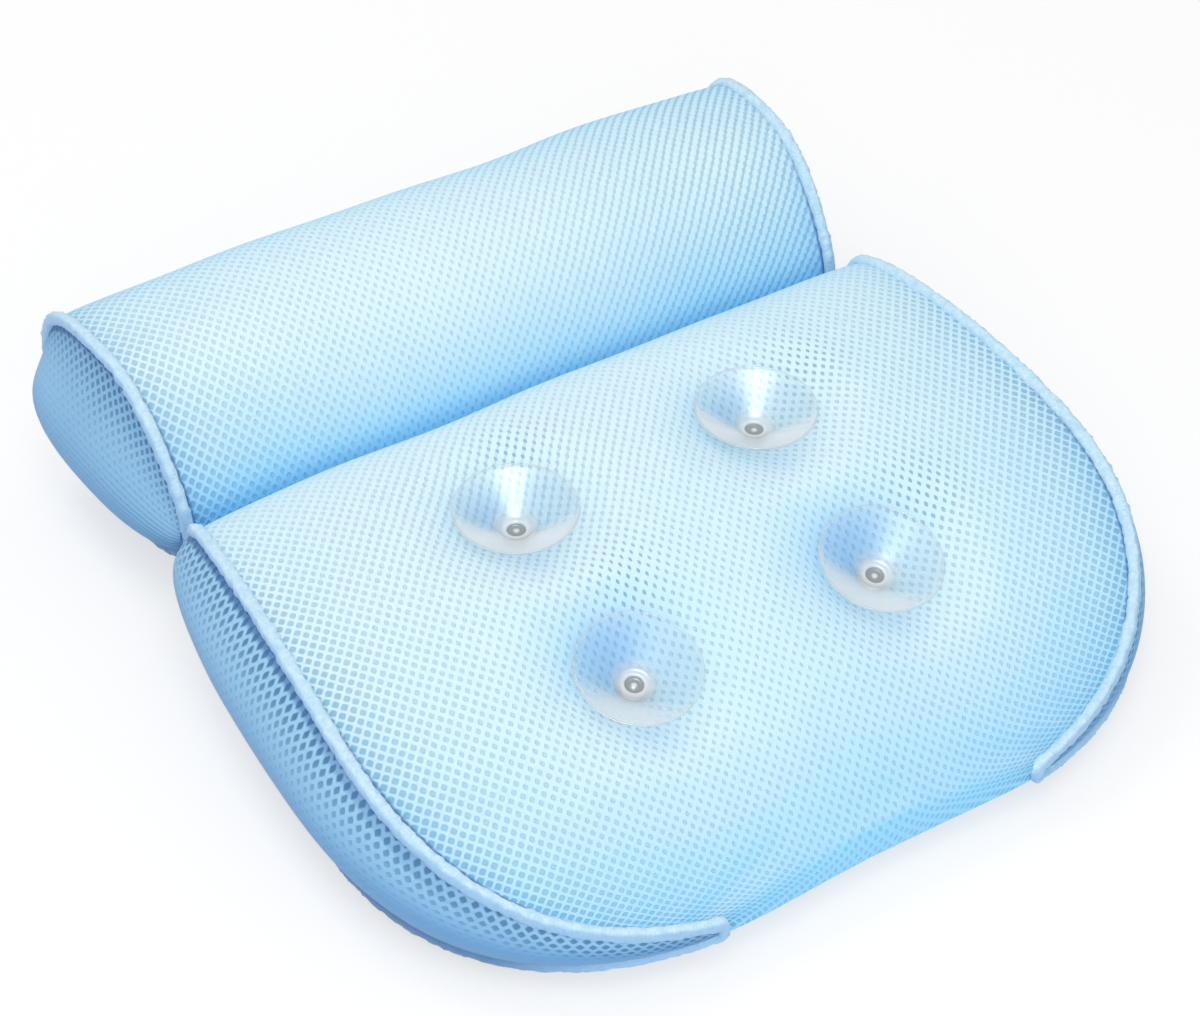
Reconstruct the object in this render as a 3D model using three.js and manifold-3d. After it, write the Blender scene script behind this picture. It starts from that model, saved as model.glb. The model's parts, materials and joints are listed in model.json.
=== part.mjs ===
// A bath pillow lying face down with its suction cups up: a wedge-shaped back pad and a head roll,
// both sewn from spacer mesh round a fibre filling and joined along one sewn hinge seam.
// Millimetres, +Z up. X runs along the roll, +Y points from the pad to the roll.

import * as THREE from "three";
import { mergeVertices } from "three/addons/utils/BufferGeometryUtils.js";
import Module from "manifold-3d";

// Cloth and sewing
const SHEET = 4; // spacer mesh where it is free
const SEAM_SHEET = 2.2; // the same mesh pressed flat at a seam
const BINDING_RADIUS = 3.2; // rolled edge tape
const HINGE_SEAM_RADIUS = 3.4; // rolled join between pad and roll
const CLEARANCE = 0.3; // kept between pieces that touch
const TAPE_GAP = 0.75; // between the edge tape and the cloth beside it
const FILLING_GAP = 0.6; // between the filling and the main cloth
const FILLING_SLACK = 2; // between the filling and the side panels
const LEAST_PANEL = 1; // side panel height at which its two seams have met

// Back pad, measured along its seams
const PAD_LENGTH = 255; // hinge end to front tips
const PAD_HALF_WIDTH = 165;
const PAD_HINGE_HALF_WIDTH = 159;
const PAD_SIDE_LENGTH = 115; // hinge end to the start of the front corners
const PAD_TIP_HALF_WIDTH = 71; // where the two side seams run out at the front
const PAD_SEAM_LOW = 7; // lower seam above the ground
const PAD_SKIRT = 9; // how far the lower seam stands out beyond the upper one
const PAD_SEAM_CREST = 65; // upper seam at its highest
const PAD_CREST_RUN = 55; // hinge end to the point where the upper seam starts to fall
const PAD_TIP_HEIGHT = 10; // between the seams at the front tips
const PAD_CROWN = 6; // back face above its seams
const PAD_FRONT_CROWN = 3; // front edge ahead of its tips
const PAD_BELLY = 9.5; // underside below its seams before it lies flat on the ground
const PAD_SIDE_BULGE = 13;

// Head roll, measured along its seams
const ROLL_DEPTH = 108; // hinge end to back
const ROLL_HALF_HEIGHT = 40.5;
const ROLL_SEAM_LOW = 9; // end seam above the ground
const ROLL_HALF_LENGTH = 160;
const ROLL_FLARE = 4; // half length gained at the back and lost at the hinge
const ROLL_NOSE_PINCH = 0.5; // share of the height lost at the hinge end
const ROLL_CROWN = 3;
const ROLL_BELLY = 13;
const ROLL_END_BULGE = 16;

// Suction cups, in two rows across the pad
const CUP_PITCH_X = 112;
const CUP_PITCH_Y = 86;
const CUP_FIRST_RUN = 76; // hinge end to the first row
const DIMPLE_DEPTH = 19; // how far each cup draws the back face in
const DIMPLE_RADIUS = 46;
const CUP_RADIUS = 25;
const CUP_HEIGHT = 14; // hub underside to rim
const CUP_RIM = 1.2; // wall at the rim and width of its flat land
const CUP_WALL = 2.4; // wall at the hub
const HUB_RADIUS = 8;
const HUB_RISE = 0.8; // raised ring round the moulding recess
const NECK_RADIUS = 4;
const NECK_PLAY = 0.6; // all round, between neck and cloth
const HEAD_RADIUS = 7;
const HEAD_HEIGHT = 5;
const CORE_HOLE_RADIUS = 2.6; // moulding recess in the hub
const WASHER_RADIUS = 12;
const WASHER_THICKNESS = 1.5;
const HEAD_CHAMFER = 2.8;
const HUB_CHAMFER = 1.2;
const CUP_TILT = THREE.MathUtils.degToRad(6); // each way in the soft cloth

// Powers that shape the curves: the larger, the flatter the middle and the blunter the end
const PAD_HINGE_BLUNTNESS = 4;
const PAD_TIP_BLUNTNESS = 8;
const PAD_CORNER_BLUNTNESS = 3; // front corners seen from above
const ROLL_BLUNTNESS = 3;
const CROWN_BLUNTNESS = 3; // main cloth from seam to seam
const FRONT_BLUNTNESS = 6; // change of the crown towards the front edge
const SEAM_BLUNTNESS = 8; // cloth thickness from seam to seam
const BULGE_POWER = 1.5; // side bulge against the height of the side
const DIMPLE_POWER = 1.3; // 1 is a straight cone
const CONE_POWER = 1.05; // the cup's wall, 1 is a straight cone

// Facets
const PAD_STEPS = 22;
const SIDE_STEPS = 5;
const ROLL_STEPS = 12;
const UNDER_TOLERANCE = 1.25; // rows of the flat underside are left out where its seam is this straight
const TUBE_SIDES = 8;
const ROUND_SIDES = 20;
const BORE_SIDES = 10;
const FACET_STEEPNESS = 1.08; // a facet against the steepest of its edges

const BLUE = 0xa9cdea;
const SIDE_BLUE = 0x8fb9de;
const TAPE_BLUE = 0xb4d3ea;
const FIBRE_WHITE = 0xf2f2ee;
const CLEAR_PVC = 0xe6eef2;
const WASHER_WHITE = 0xe9eaea;
const CLOTH_ROUGHNESS = 0.9;
const TAPE_ROUGHNESS = 0.95;
const FIBRE_ROUGHNESS = 1;
const WASHER_ROUGHNESS = 0.5;
const PVC_ROUGHNESS = 0.12;
const PVC_OPACITY = 0.35;

const EDGE_GAP = BINDING_RADIUS + TAPE_GAP; // from a seam line to the edge of the cloth beside it
const HINGE_START = HINGE_SEAM_RADIUS + CLEARANCE + SHEET / 2; // from hinge axis to a cushion's cloth
const HINGE_HEIGHT = (PAD_SEAM_CREST + PAD_SEAM_LOW) / 2;
const ROLL_CENTRE_HEIGHT = ROLL_SEAM_LOW + ROLL_HALF_HEIGHT;

const wasm = await Module();
wasm.setup();

function clamp01(value) {
  return THREE.MathUtils.clamp(value, 0, 1);
}

// Height share of a section that rounds off at both ends, 0 at the ends and 1 between them.
// A larger power makes a blunter end
function roundedEnds(share, hingePower, farPower) {
  const power = share < 0.5 ? hingePower : farPower;
  return Math.pow(Math.max(0, 1 - Math.pow(Math.abs(2 * share - 1), power)), 1 / power);
}

// Share of the pad's half width left at a share of its front corner
function cornerShare(share) {
  return Math.pow(1 - Math.pow(share, PAD_CORNER_BLUNTNESS), 1 / PAD_CORNER_BLUNTNESS);
}

const padCornerLength = (PAD_LENGTH - PAD_SIDE_LENGTH) / cornerShare(PAD_TIP_HALF_WIDTH / PAD_HALF_WIDTH);

// The two cushions. Their functions give the seam on the +X side at a run, the distance from the
// hinge end. Heading is the way along Y in which the run grows
const pad = {
  heading: -1,
  length: PAD_LENGTH,
  bulge: PAD_SIDE_BULGE,
  halfWidth(run) {
    if (run < PAD_SIDE_LENGTH) {
      const taper = PAD_HALF_WIDTH - PAD_HINGE_HALF_WIDTH;
      return PAD_HALF_WIDTH - taper * Math.pow(1 - run / PAD_SIDE_LENGTH, 2);
    }
    return PAD_HALF_WIDTH * cornerShare((run - PAD_SIDE_LENGTH) / padCornerLength);
  },
  skirt(run) {
    return PAD_SKIRT * Math.sqrt(Math.sin(Math.PI * run / PAD_LENGTH));
  },
  heights(run) {
    const fall = clamp01((run - PAD_CREST_RUN) / (PAD_LENGTH - PAD_CREST_RUN));
    const tip = PAD_SEAM_LOW + PAD_TIP_HEIGHT;
    const crest = tip + (PAD_SEAM_CREST - tip) * (1 - fall * fall);
    const middle = (crest + PAD_SEAM_LOW) / 2;
    const share = roundedEnds(run / PAD_LENGTH, PAD_HINGE_BLUNTNESS, PAD_TIP_BLUNTNESS);
    const half = share * (crest - PAD_SEAM_LOW) / 2;
    return { top: middle + half, bottom: middle - half };
  },
  crown(run, upper) {
    const away = Math.sin(Math.PI / 2 * clamp01(run / PAD_CREST_RUN));
    const front = Math.pow(run / PAD_LENGTH, FRONT_BLUNTNESS);
    const middle = upper ? PAD_CROWN : PAD_BELLY;
    return away * THREE.MathUtils.lerp(middle, PAD_FRONT_CROWN, front);
  },
};

const roll = {
  heading: 1,
  length: ROLL_DEPTH,
  bulge: ROLL_END_BULGE,
  halfWidth(run) {
    return ROLL_HALF_LENGTH + ROLL_FLARE * (2 * run / ROLL_DEPTH - 1);
  },
  skirt() {
    return 0;
  },
  heights(run) {
    const nose = Math.pow(clamp01(1 - 2 * run / ROLL_DEPTH), 2);
    const middle = THREE.MathUtils.lerp(ROLL_CENTRE_HEIGHT, HINGE_HEIGHT, nose);
    const full = ROLL_HALF_HEIGHT * (1 - ROLL_NOSE_PINCH * nose);
    const half = full * roundedEnds(run / ROLL_DEPTH, ROLL_BLUNTNESS, ROLL_BLUNTNESS);
    return { top: middle + half, bottom: middle - half };
  },
  crown(run, upper) {
    const away = Math.sin(Math.PI / 2 * clamp01(2 * run / ROLL_DEPTH));
    const under = upper ? 0 : Math.sin(Math.PI * run / ROLL_DEPTH);
    return away * THREE.MathUtils.lerp(ROLL_CROWN, ROLL_BELLY, under);
  },
};

// Runs from end to end, close together at the rounded ends
function runsOf(cushion, steps) {
  const runs = [];
  for (let i = 0; i <= steps; i++) {
    runs.push(cushion.length * (1 - Math.cos(Math.PI * i / steps)) / 2);
  }
  return runs;
}

// The same runs with the nearest ones moved onto the given rows
function runsThrough(cushion, steps, rows) {
  const runs = runsOf(cushion, steps);
  for (const row of rows) {
    const distances = runs.map((run) => Math.abs(run - row));
    runs[distances.indexOf(Math.min(...distances))] = row;
  }
  return runs;
}

function seamPoint(cushion, run, upper) {
  const heights = cushion.heights(run);
  const x = cushion.halfWidth(run) + (upper ? 0 : cushion.skirt(run));
  const y = cushion.heading * (HINGE_START + run);
  return new THREE.Vector3(x, y, upper ? heights.top : heights.bottom);
}

// The runs that a lower seam needs to stay within a tolerance of its curve
function sparseRuns(cushion, runs, tolerance) {
  const points = runs.map((run) => seamPoint(cushion, run, false));
  const nearest = new THREE.Vector3();
  const kept = [0];
  for (let i = 2; i < runs.length; i++) {
    const last = kept[kept.length - 1];
    const chord = new THREE.Line3(points[last], points[i]);
    const strays = points.slice(last + 1, i).some((point) => {
      return chord.closestPointToPoint(point, true, nearest).distanceTo(point) > tolerance;
    });
    if (strays) {
      kept.push(i - 1);
    }
  }
  return [...kept, runs.length - 1].map((i) => runs[i]);
}

// Which way the seam runs, going along the top from the hinge and back along the underside
function seamDirection(cushion, run, upper) {
  if (run === 0 || run === cushion.length) {
    return new THREE.Vector3(0, 0, run === 0 ? 1 : -1);
  }
  const step = Math.min(run, cushion.length - run) / 20;
  const ahead = seamPoint(cushion, run + step, upper);
  const direction = ahead.sub(seamPoint(cushion, run - step, upper)).normalize();
  return upper ? direction : direction.negate();
}

// Direction out of the side panel, level with the ground
function sideNormal(cushion, run) {
  const step = cushion.length / 500;
  const ahead = Math.min(run + step, cushion.length);
  const behind = Math.max(run - step, 0);
  const slope = (cushion.halfWidth(ahead) - cushion.halfWidth(behind)) / (ahead - behind);
  return new THREE.Vector3(1, -cushion.heading * slope, 0).normalize();
}

// The closed seam round one side. Out points away from the main cloth, inward along the main cloth
// and panelward along the side panel, each square to the seam
function seamLoop(cushion, topRuns, underRuns) {
  const top = topRuns.map((run) => ({ run, upper: true }));
  const under = underRuns.slice(1, -1).reverse().map((run) => ({ run, upper: false }));
  const stations = [...top, ...under];
  for (const station of stations) {
    const { run, upper } = station;
    const along = seamDirection(cushion, run, upper);
    station.point = seamPoint(cushion, run, upper);
    station.out = new THREE.Vector3(0, -along.z, along.y).multiplyScalar(cushion.heading).normalize();
    station.inward = new THREE.Vector3(-1, 0, 0).addScaledVector(along, along.x).normalize();
    station.binormal = along.clone().cross(station.inward);
    station.sideways = sideNormal(cushion, run);
    station.panelward = station.sideways.clone().cross(along).multiplyScalar(-cushion.heading).normalize();
  }
  return stations;
}

// Middle layer of a cushion's main cloth from seam to seam, with its normals. Columns run from -1 to 1
function mainLayer(cushion, stations, columns, dimple, edgeInset = EDGE_GAP) {
  const points = stations.map((station) => {
    return columns.map((column) => {
      const inset = Math.abs(column) === 1 ? edgeInset : EDGE_GAP;
      const point = station.point.clone().addScaledVector(station.inward, inset);
      point.x *= column;
      const across = 1 - Math.pow(Math.abs(column), CROWN_BLUNTNESS);
      const crown = across * cushion.crown(station.run, station.upper);
      return point.addScaledVector(station.out, crown - dimple(point.x, station));
    });
  });
  const count = stations.length;
  const depths = stations.flatMap((station, i) => points[i].map((point) => dimple(point.x, station)));
  const normals = points.map((row, i) => row.map((point, j) => {
    const left = row[Math.max(j - 1, 0)];
    const right = row[Math.min(j + 1, row.length - 1)];
    const around = points[(i + 1) % count][j].clone().sub(points[(i + count - 1) % count][j]);
    const normal = right.clone().sub(left).cross(around).normalize();
    return normal.dot(stations[i].out) < 0 ? normal.negate() : normal;
  }));
  return { points, normals, depths };
}

// A layer moved out along its normals, kept at or above a level
function offsetLayer(layer, distanceAt, level) {
  return layer.points.map((row, i) => row.map((point, j) => {
    const moved = point.clone().addScaledVector(layer.normals[i][j], distanceAt(j));
    moved.z = Math.max(moved.z, level);
    return moved;
  }));
}

function thicknessAt(share) {
  return THREE.MathUtils.lerp(SHEET, SEAM_SHEET, Math.pow(Math.abs(share), SEAM_BLUNTNESS));
}

// A closed body from points and triangles, turned to face out
function closedBody(points, faces) {
  let volume = 0;
  const cross = new THREE.Vector3();
  for (const [a, b, c] of faces) {
    volume += points[a].dot(cross.crossVectors(points[b], points[c]));
  }
  const index = faces.flatMap(([a, b, c]) => (volume < 0 ? [a, c, b] : [a, b, c]));
  const geometry = new THREE.BufferGeometry();
  const positions = points.flatMap((point) => point.toArray());
  geometry.setAttribute("position", new THREE.Float32BufferAttribute(positions, 3));
  geometry.setIndex(index);
  geometry.computeVertexNormals();
  return geometry;
}

// Two triangles that meet on the diagonal through the corner of most weight
function addQuad(faces, a, b, c, d, weight = () => 0) {
  const turned = Math.max(weight(b), weight(d)) > Math.max(weight(a), weight(c));
  faces.push(...(turned ? [[a, b, d], [b, c, d]] : [[a, b, c], [a, c, d]]));
}

// A sheet between two grids of points; a wrapped sheet joins its last row to its first.
// Depths, one for each point of a grid, choose the diagonals
function sheetBody(outer, inner, wrapped, depths = [0]) {
  const depthOf = (index) => depths[index % depths.length];
  const rows = outer.length;
  const columns = outer[0].length;
  const last = columns - 1;
  const points = [...outer.flat(), ...inner.flat()];
  const at = (i, j) => (i % rows) * columns + j;
  const under = (i, j) => rows * columns + at(i, j);
  const faces = [];
  const rowSteps = wrapped ? rows : rows - 1;
  for (let i = 0; i < rowSteps; i++) {
    for (let j = 0; j + 1 < columns; j++) {
      addQuad(faces, at(i, j), at(i + 1, j), at(i + 1, j + 1), at(i, j + 1), depthOf);
      addQuad(faces, under(i, j), under(i, j + 1), under(i + 1, j + 1), under(i + 1, j), depthOf);
    }
    addQuad(faces, at(i, 0), under(i, 0), under(i + 1, 0), at(i + 1, 0));
    addQuad(faces, at(i, last), at(i + 1, last), under(i + 1, last), under(i, last));
  }
  if (!wrapped) {
    for (let j = 0; j + 1 < columns; j++) {
      addQuad(faces, at(0, j), at(0, j + 1), under(0, j + 1), under(0, j));
      addQuad(faces, at(rows - 1, j), under(rows - 1, j), under(rows - 1, j + 1), at(rows - 1, j + 1));
    }
  }
  return closedBody(points, faces);
}

function coverBody(cushion, topRuns, underRuns, columns, dimple) {
  const stations = seamLoop(cushion, topRuns, underRuns);
  const layer = mainLayer(cushion, stations, columns, dimple);
  const half = (j) => thicknessAt(columns[j]) / 2;
  const outer = offsetLayer(layer, half, 0);
  const inner = offsetLayer(layer, (j) => -half(j), SHEET);
  return sheetBody(outer, inner, true, layer.depths);
}

// How far the side swells out, less where the side is low and near its ends
function bulgeAt(cushion, run) {
  const runs = runsOf(cushion, ROLL_STEPS);
  const heightAt = (place) => cushion.heights(place).top - cushion.heights(place).bottom;
  const tallest = Math.max(...runs.map(heightAt));
  return cushion.bulge * endFade(cushion, run) * Math.pow(heightAt(run) / tallest, BULGE_POWER);
}

function endFade(cushion, run) {
  const fromEnd = Math.min(run, cushion.length - run) - EDGE_GAP;
  return Math.sin(Math.PI / 2 * clamp01(fromEnd / cushion.bulge));
}

// Side panel between the upper and the lower seam
function sideBody(cushion, runs, side) {
  const stations = seamLoop(cushion, runs, runs);
  const outer = [];
  const inner = [];
  for (let i = 1; i + 1 < runs.length; i++) {
    const upper = stations[i];
    const lower = stations[stations.length - i];
    const top = upper.point.clone().addScaledVector(upper.panelward, EDGE_GAP);
    const bottom = lower.point.clone().addScaledVector(lower.panelward, EDGE_GAP);
    if (top.z - bottom.z < LEAST_PANEL) {
      continue;
    }
    const rowOut = [];
    const rowIn = [];
    for (let k = 0; k <= SIDE_STEPS; k++) {
      const share = k / SIDE_STEPS;
      const bulge = bulgeAt(cushion, upper.run) * Math.sin(Math.PI * share);
      const middle = top.clone().lerp(bottom, share).addScaledVector(upper.sideways, bulge);
      const half = thicknessAt(2 * share - 1) / 2;
      rowOut.push(middle.clone().addScaledVector(upper.sideways, half));
      rowIn.push(middle.clone().addScaledVector(upper.sideways, -half));
    }
    outer.push(rowOut);
    inner.push(rowIn);
  }
  for (const point of [...outer.flat(), ...inner.flat()]) {
    point.x *= side;
  }
  return sheetBody(outer, inner, false);
}

// Edge tape: a closed tube along the seam of one side
function bindingBody(cushion, runs, side) {
  const points = [];
  const faces = [];
  const stations = seamLoop(cushion, runs, runs);
  const count = stations.length;
  const at = (i, k) => (i % count) * TUBE_SIDES + k % TUBE_SIDES;
  stations.forEach((station, i) => {
    for (let k = 0; k < TUBE_SIDES; k++) {
      const angle = 2 * Math.PI * k / TUBE_SIDES;
      const point = station.point.clone();
      point.addScaledVector(station.inward, BINDING_RADIUS * Math.cos(angle));
      point.addScaledVector(station.binormal, BINDING_RADIUS * Math.sin(angle));
      points.push(point.setX(point.x * side));
      addQuad(faces, at(i, k), at(i + 1, k), at(i + 1, k + 1), at(i, k + 1));
    }
  });
  return closedBody(points, faces);
}

// Triangles between two rows of points that start and end together, each given as index and run
function addStrip(faces, first, second, reversed) {
  let i = 0;
  let k = 0;
  while (i + 1 < first.length || k + 1 < second.length) {
    const nextFirst = i + 1 < first.length ? first[i + 1].run : Infinity;
    const nextSecond = k + 1 < second.length ? second[k + 1].run : Infinity;
    const face = [first[i].index, second[k].index];
    if (nextFirst <= nextSecond) {
      i += 1;
      face.splice(1, 0, first[i].index);
    } else {
      k += 1;
      face.splice(1, 0, second[k].index);
    }
    if (new Set(face).size === 3) {
      faces.push(reversed ? face.reverse() : face);
    }
  }
}

// Filling: the space inside the cloth, less a clearance
function fillingBody(cushion, topRuns, underRuns, columns, dimple) {
  const stations = seamLoop(cushion, topRuns, underRuns);
  const layer = mainLayer(cushion, stations, columns, dimple, EDGE_GAP + FILLING_SLACK);
  const depth = (j) => -thicknessAt(columns[j]) / 2 - FILLING_GAP;
  const points = offsetLayer(layer, depth, SHEET + FILLING_GAP).flat();
  const width = columns.length;
  const count = stations.length;
  const at = (i, j) => (i % count) * width + j;
  const faces = [];
  for (let i = 0; i < count; i++) {
    for (let j = 0; j + 1 < width; j++) {
      addQuad(faces, at(i, j), at(i + 1, j), at(i + 1, j + 1), at(i, j + 1), (k) => layer.depths[k]);
    }
  }
  const last = topRuns.length - 1;
  for (const side of [-1, 1]) {
    const column = side < 0 ? 0 : width - 1;
    const upper = topRuns.map((run, i) => ({ run, index: at(i, column) }));
    const lower = underRuns.map((run, i) => {
      const station = i === 0 ? 0 : last + underRuns.length - 1 - i;
      return { run, index: at(station, column) };
    });
    let row = upper;
    for (let k = 1; k < SIDE_STEPS; k++) {
      const share = k / SIDE_STEPS;
      const next = topRuns.map((run, i) => {
        if (i === 0 || i === last) {
          return upper[i];
        }
        const height = cushion.heights(run).top - cushion.heights(run).bottom;
        const room = (EDGE_GAP - SHEET / 2) * endFade(cushion, run);
        const swell = (bulgeAt(cushion, run) + room) * Math.sin(Math.PI * share);
        const point = points[upper[i].index].clone();
        point.z -= share * (height - 2 * FILLING_GAP - SEAM_SHEET);
        point.x += side * (stations[i].sideways.x * swell + share * cushion.skirt(run));
        point.y += stations[i].sideways.y * swell;
        return { run, index: points.push(point) - 1 };
      });
      addStrip(faces, row, next, side < 0);
      row = next;
    }
    addStrip(faces, row, lower, side < 0);
  }
  return closedBody(points, faces);
}

function turnedBody(profile) {
  const outline = profile.map(([radius, height]) => new THREE.Vector2(radius, height));
  return new THREE.LatheGeometry(outline, ROUND_SIDES).rotateX(Math.PI / 2);
}

function toManifold(geometry, matrix) {
  const bare = new THREE.BufferGeometry();
  bare.setAttribute("position", geometry.getAttribute("position").clone());
  bare.setIndex(geometry.getIndex());
  bare.applyMatrix4(matrix);
  const merged = mergeVertices(bare, 1e-4);
  const vertProperties = new Float32Array(merged.getAttribute("position").array);
  const triVerts = new Uint32Array(merged.getIndex().array);
  return new wasm.Manifold(new wasm.Mesh({ numProp: 3, vertProperties, triVerts }));
}

// A body less a set of cutters, each placed by its own matrix
function cutBody(geometry, cutter, matrices) {
  let solid = toManifold(geometry, new THREE.Matrix4());
  for (const matrix of matrices) {
    solid = solid.subtract(toManifold(cutter, matrix));
  }
  const mesh = solid.getMesh();
  const result = new THREE.BufferGeometry();
  result.setAttribute("position", new THREE.Float32BufferAttribute(mesh.vertProperties, 3));
  result.setIndex(Array.from(mesh.triVerts));
  result.computeVertexNormals();
  return result;
}

const cupRuns = [CUP_FIRST_RUN, CUP_FIRST_RUN + CUP_PITCH_Y];
const cupPlaces = cupRuns.flatMap((run) => [-1, 1].map((side) => ({ run, x: side * CUP_PITCH_X / 2 })));

function cupDimple(x, station) {
  if (!station.upper) {
    return 0;
  }
  let depth = 0;
  for (const place of cupPlaces) {
    const distance = Math.hypot(x - place.x, station.run - place.run);
    depth += DIMPLE_DEPTH * Math.pow(clamp01(1 - distance / DIMPLE_RADIUS), DIMPLE_POWER);
  }
  return depth;
}

function noDimple() {
  return 0;
}

function bothSides(columns) {
  return [...columns.slice(1).reverse().map((column) => -column), ...columns];
}

// Pad columns: close together across the dimples, with one through the cup centres
const cupColumn = CUP_PITCH_X / 2 / (PAD_HALF_WIDTH - EDGE_GAP);
const outerColumns = [0.5, 1].map((share) => THREE.MathUtils.lerp(1.6 * cupColumn, 1, share));
const padColumns = bothSides([0, 0.4, 0.72, 1, 1.28, 1.6].map((n) => n * cupColumn).concat(outerColumns));
const rollColumns = bothSides([0, 0.4, 0.7, 0.9, 1]);

const padTopRuns = runsThrough(pad, PAD_STEPS, cupRuns);
const padSideRuns = runsOf(pad, PAD_STEPS);
const padUnderRuns = sparseRuns(pad, padSideRuns, UNDER_TOLERANCE);
const rollRuns = runsOf(roll, ROLL_STEPS);

// Where each cup sits: the middle of the cloth at the bottom of its dimple, and the slopes round it
const padStations = seamLoop(pad, padTopRuns, padUnderRuns);
const smoothLayer = mainLayer(pad, padStations, padColumns, noDimple);
const dimpledLayer = mainLayer(pad, padStations, padColumns, cupDimple);
const dimpledFace = offsetLayer(dimpledLayer, () => SHEET / 2, 0);
const slopes = [];
const spans = [];
for (const place of cupPlaces) {
  const i = padTopRuns.indexOf(place.run);
  const j = padColumns.indexOf(Math.sign(place.x) * cupColumn);
  place.centre = dimpledLayer.points[i][j];
  place.axis = smoothLayer.normals[i][j];
  for (const [di, dj] of [[-1, -1], [-1, 0], [-1, 1], [0, -1], [0, 1], [1, -1], [1, 0], [1, 1]]) {
    const away = dimpledFace[i + di][j + dj].clone().sub(dimpledFace[i][j]);
    const rise = away.dot(place.axis);
    const span = Math.sqrt(away.lengthSq() - rise * rise);
    slopes.push(rise / span);
    spans.push(span);
  }
}
const steepest = FACET_STEEPNESS * Math.max(...slopes);
const gentlest = Math.min(...slopes);

// Heights along a cup's axis, from the middle of the cloth at the bottom of its dimple
const holeRadius = NECK_RADIUS + NECK_PLAY;
const tiltLift = (radius) => radius * Math.sin(CUP_TILT) + CLEARANCE / 2;
const coneRise = (radius) => {
  const share = (radius - NECK_RADIUS) / (CUP_RADIUS - NECK_RADIUS);
  return (CUP_HEIGHT - CUP_RIM) * Math.pow(share, CONE_POWER);
};
const clearSeats = [holeRadius, Math.max(...spans)].map((radius) => {
  return SHEET / 2 + steepest * radius + tiltLift(radius) - coneRise(radius);
});
const hubSeat = Math.max(...clearSeats);
const washerTop = -SHEET / 2 + gentlest * holeRadius / 2 - CLEARANCE;
const washerBottom = washerTop - WASHER_THICKNESS;
const headTop = washerBottom - CLEARANCE;
const headBottom = headTop - HEAD_HEIGHT;
const cupRim = hubSeat + CUP_HEIGHT;

const cupOutside = [0, 0.2, 0.45, 0.7, 1].map((share) => {
  const radius = THREE.MathUtils.lerp(NECK_RADIUS, CUP_RADIUS, share);
  return [radius, hubSeat + coneRise(radius)];
});
const cupInside = [0.8, 0.55, 0.3, 0].map((share) => {
  const radius = THREE.MathUtils.lerp(HUB_RADIUS, CUP_RADIUS - CUP_RIM, share);
  return [radius, hubSeat + coneRise(radius) + THREE.MathUtils.lerp(CUP_WALL, CUP_RIM, share)];
});
const hubTop = hubSeat + coneRise(HUB_RADIUS) + CUP_WALL + HUB_RISE;
const cupProfile = [
  [0, headBottom],
  [HEAD_RADIUS - HEAD_CHAMFER, headBottom],
  [HEAD_RADIUS, headBottom + HEAD_CHAMFER],
  [HEAD_RADIUS, headTop],
  [NECK_RADIUS, headTop],
  ...cupOutside,
  [CUP_RADIUS, cupRim],
  [CUP_RADIUS - CUP_RIM, cupRim],
  ...cupInside,
  [HUB_RADIUS - HUB_CHAMFER, hubTop],
  [CORE_HOLE_RADIUS, hubTop],
  [CORE_HOLE_RADIUS, headTop],
  [0, headTop],
];
const washerProfile = [
  [holeRadius, washerBottom],
  [WASHER_RADIUS, washerBottom],
  [WASHER_RADIUS, washerTop],
  [holeRadius, washerTop],
  [holeRadius, washerBottom],
];

const pillow = new THREE.Group();
pillow.name = "bath_pillow";

function add(parent, name, geometry, color, roughness, extra = {}) {
  const material = new THREE.MeshStandardMaterial({ color, roughness, metalness: 0, ...extra });
  const mesh = new THREE.Mesh(geometry, material);
  mesh.name = name;
  parent.add(mesh);
  return mesh;
}

// Cups and washers, numbered from the hinge to the front and from -X to +X
const cupMatrices = [];
cupPlaces.forEach((place, i) => {
  const seat = new THREE.Group();
  seat.name = `cup_seat_${i + 1}`;
  seat.position.copy(place.centre);
  seat.quaternion.setFromUnitVectors(new THREE.Vector3(0, 0, 1), place.axis);
  seat.updateMatrix();
  cupMatrices.push(seat.matrix.clone());
  const clear = { transparent: true, opacity: PVC_OPACITY };
  add(seat, `suction_cup_${i + 1}`, turnedBody(cupProfile), CLEAR_PVC, PVC_ROUGHNESS, clear);
  add(seat, `cup_washer_${i + 1}`, turnedBody(washerProfile), WASHER_WHITE, WASHER_ROUGHNESS);
  pillow.add(seat);
});

// A cutter whose flats, not corners, lie at the radius
function roundCutter(radius, bottom, top) {
  const corner = radius / Math.cos(Math.PI / BORE_SIDES);
  const cutter = new THREE.CylinderGeometry(corner, corner, top - bottom, BORE_SIDES);
  return cutter.rotateX(Math.PI / 2).translate(0, 0, (top + bottom) / 2);
}

const bore = roundCutter(holeRadius, -2 * SHEET, 2 * SHEET);
const pocketFloor = headBottom - HEAD_RADIUS * Math.sin(CUP_TILT) - 2 * CLEARANCE;
const pocket = roundCutter(WASHER_RADIUS + 2 * CLEARANCE, pocketFloor, 2 * DIMPLE_DEPTH);

// Back pad
const padCover = coverBody(pad, padTopRuns, padUnderRuns, padColumns, cupDimple);
add(pillow, "pad_cover", cutBody(padCover, bore, cupMatrices), BLUE, CLOTH_ROUGHNESS);
const padFilling = fillingBody(pad, padTopRuns, padUnderRuns, padColumns, cupDimple);
add(pillow, "pad_filling", cutBody(padFilling, pocket, cupMatrices), FIBRE_WHITE, FIBRE_ROUGHNESS);

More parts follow.
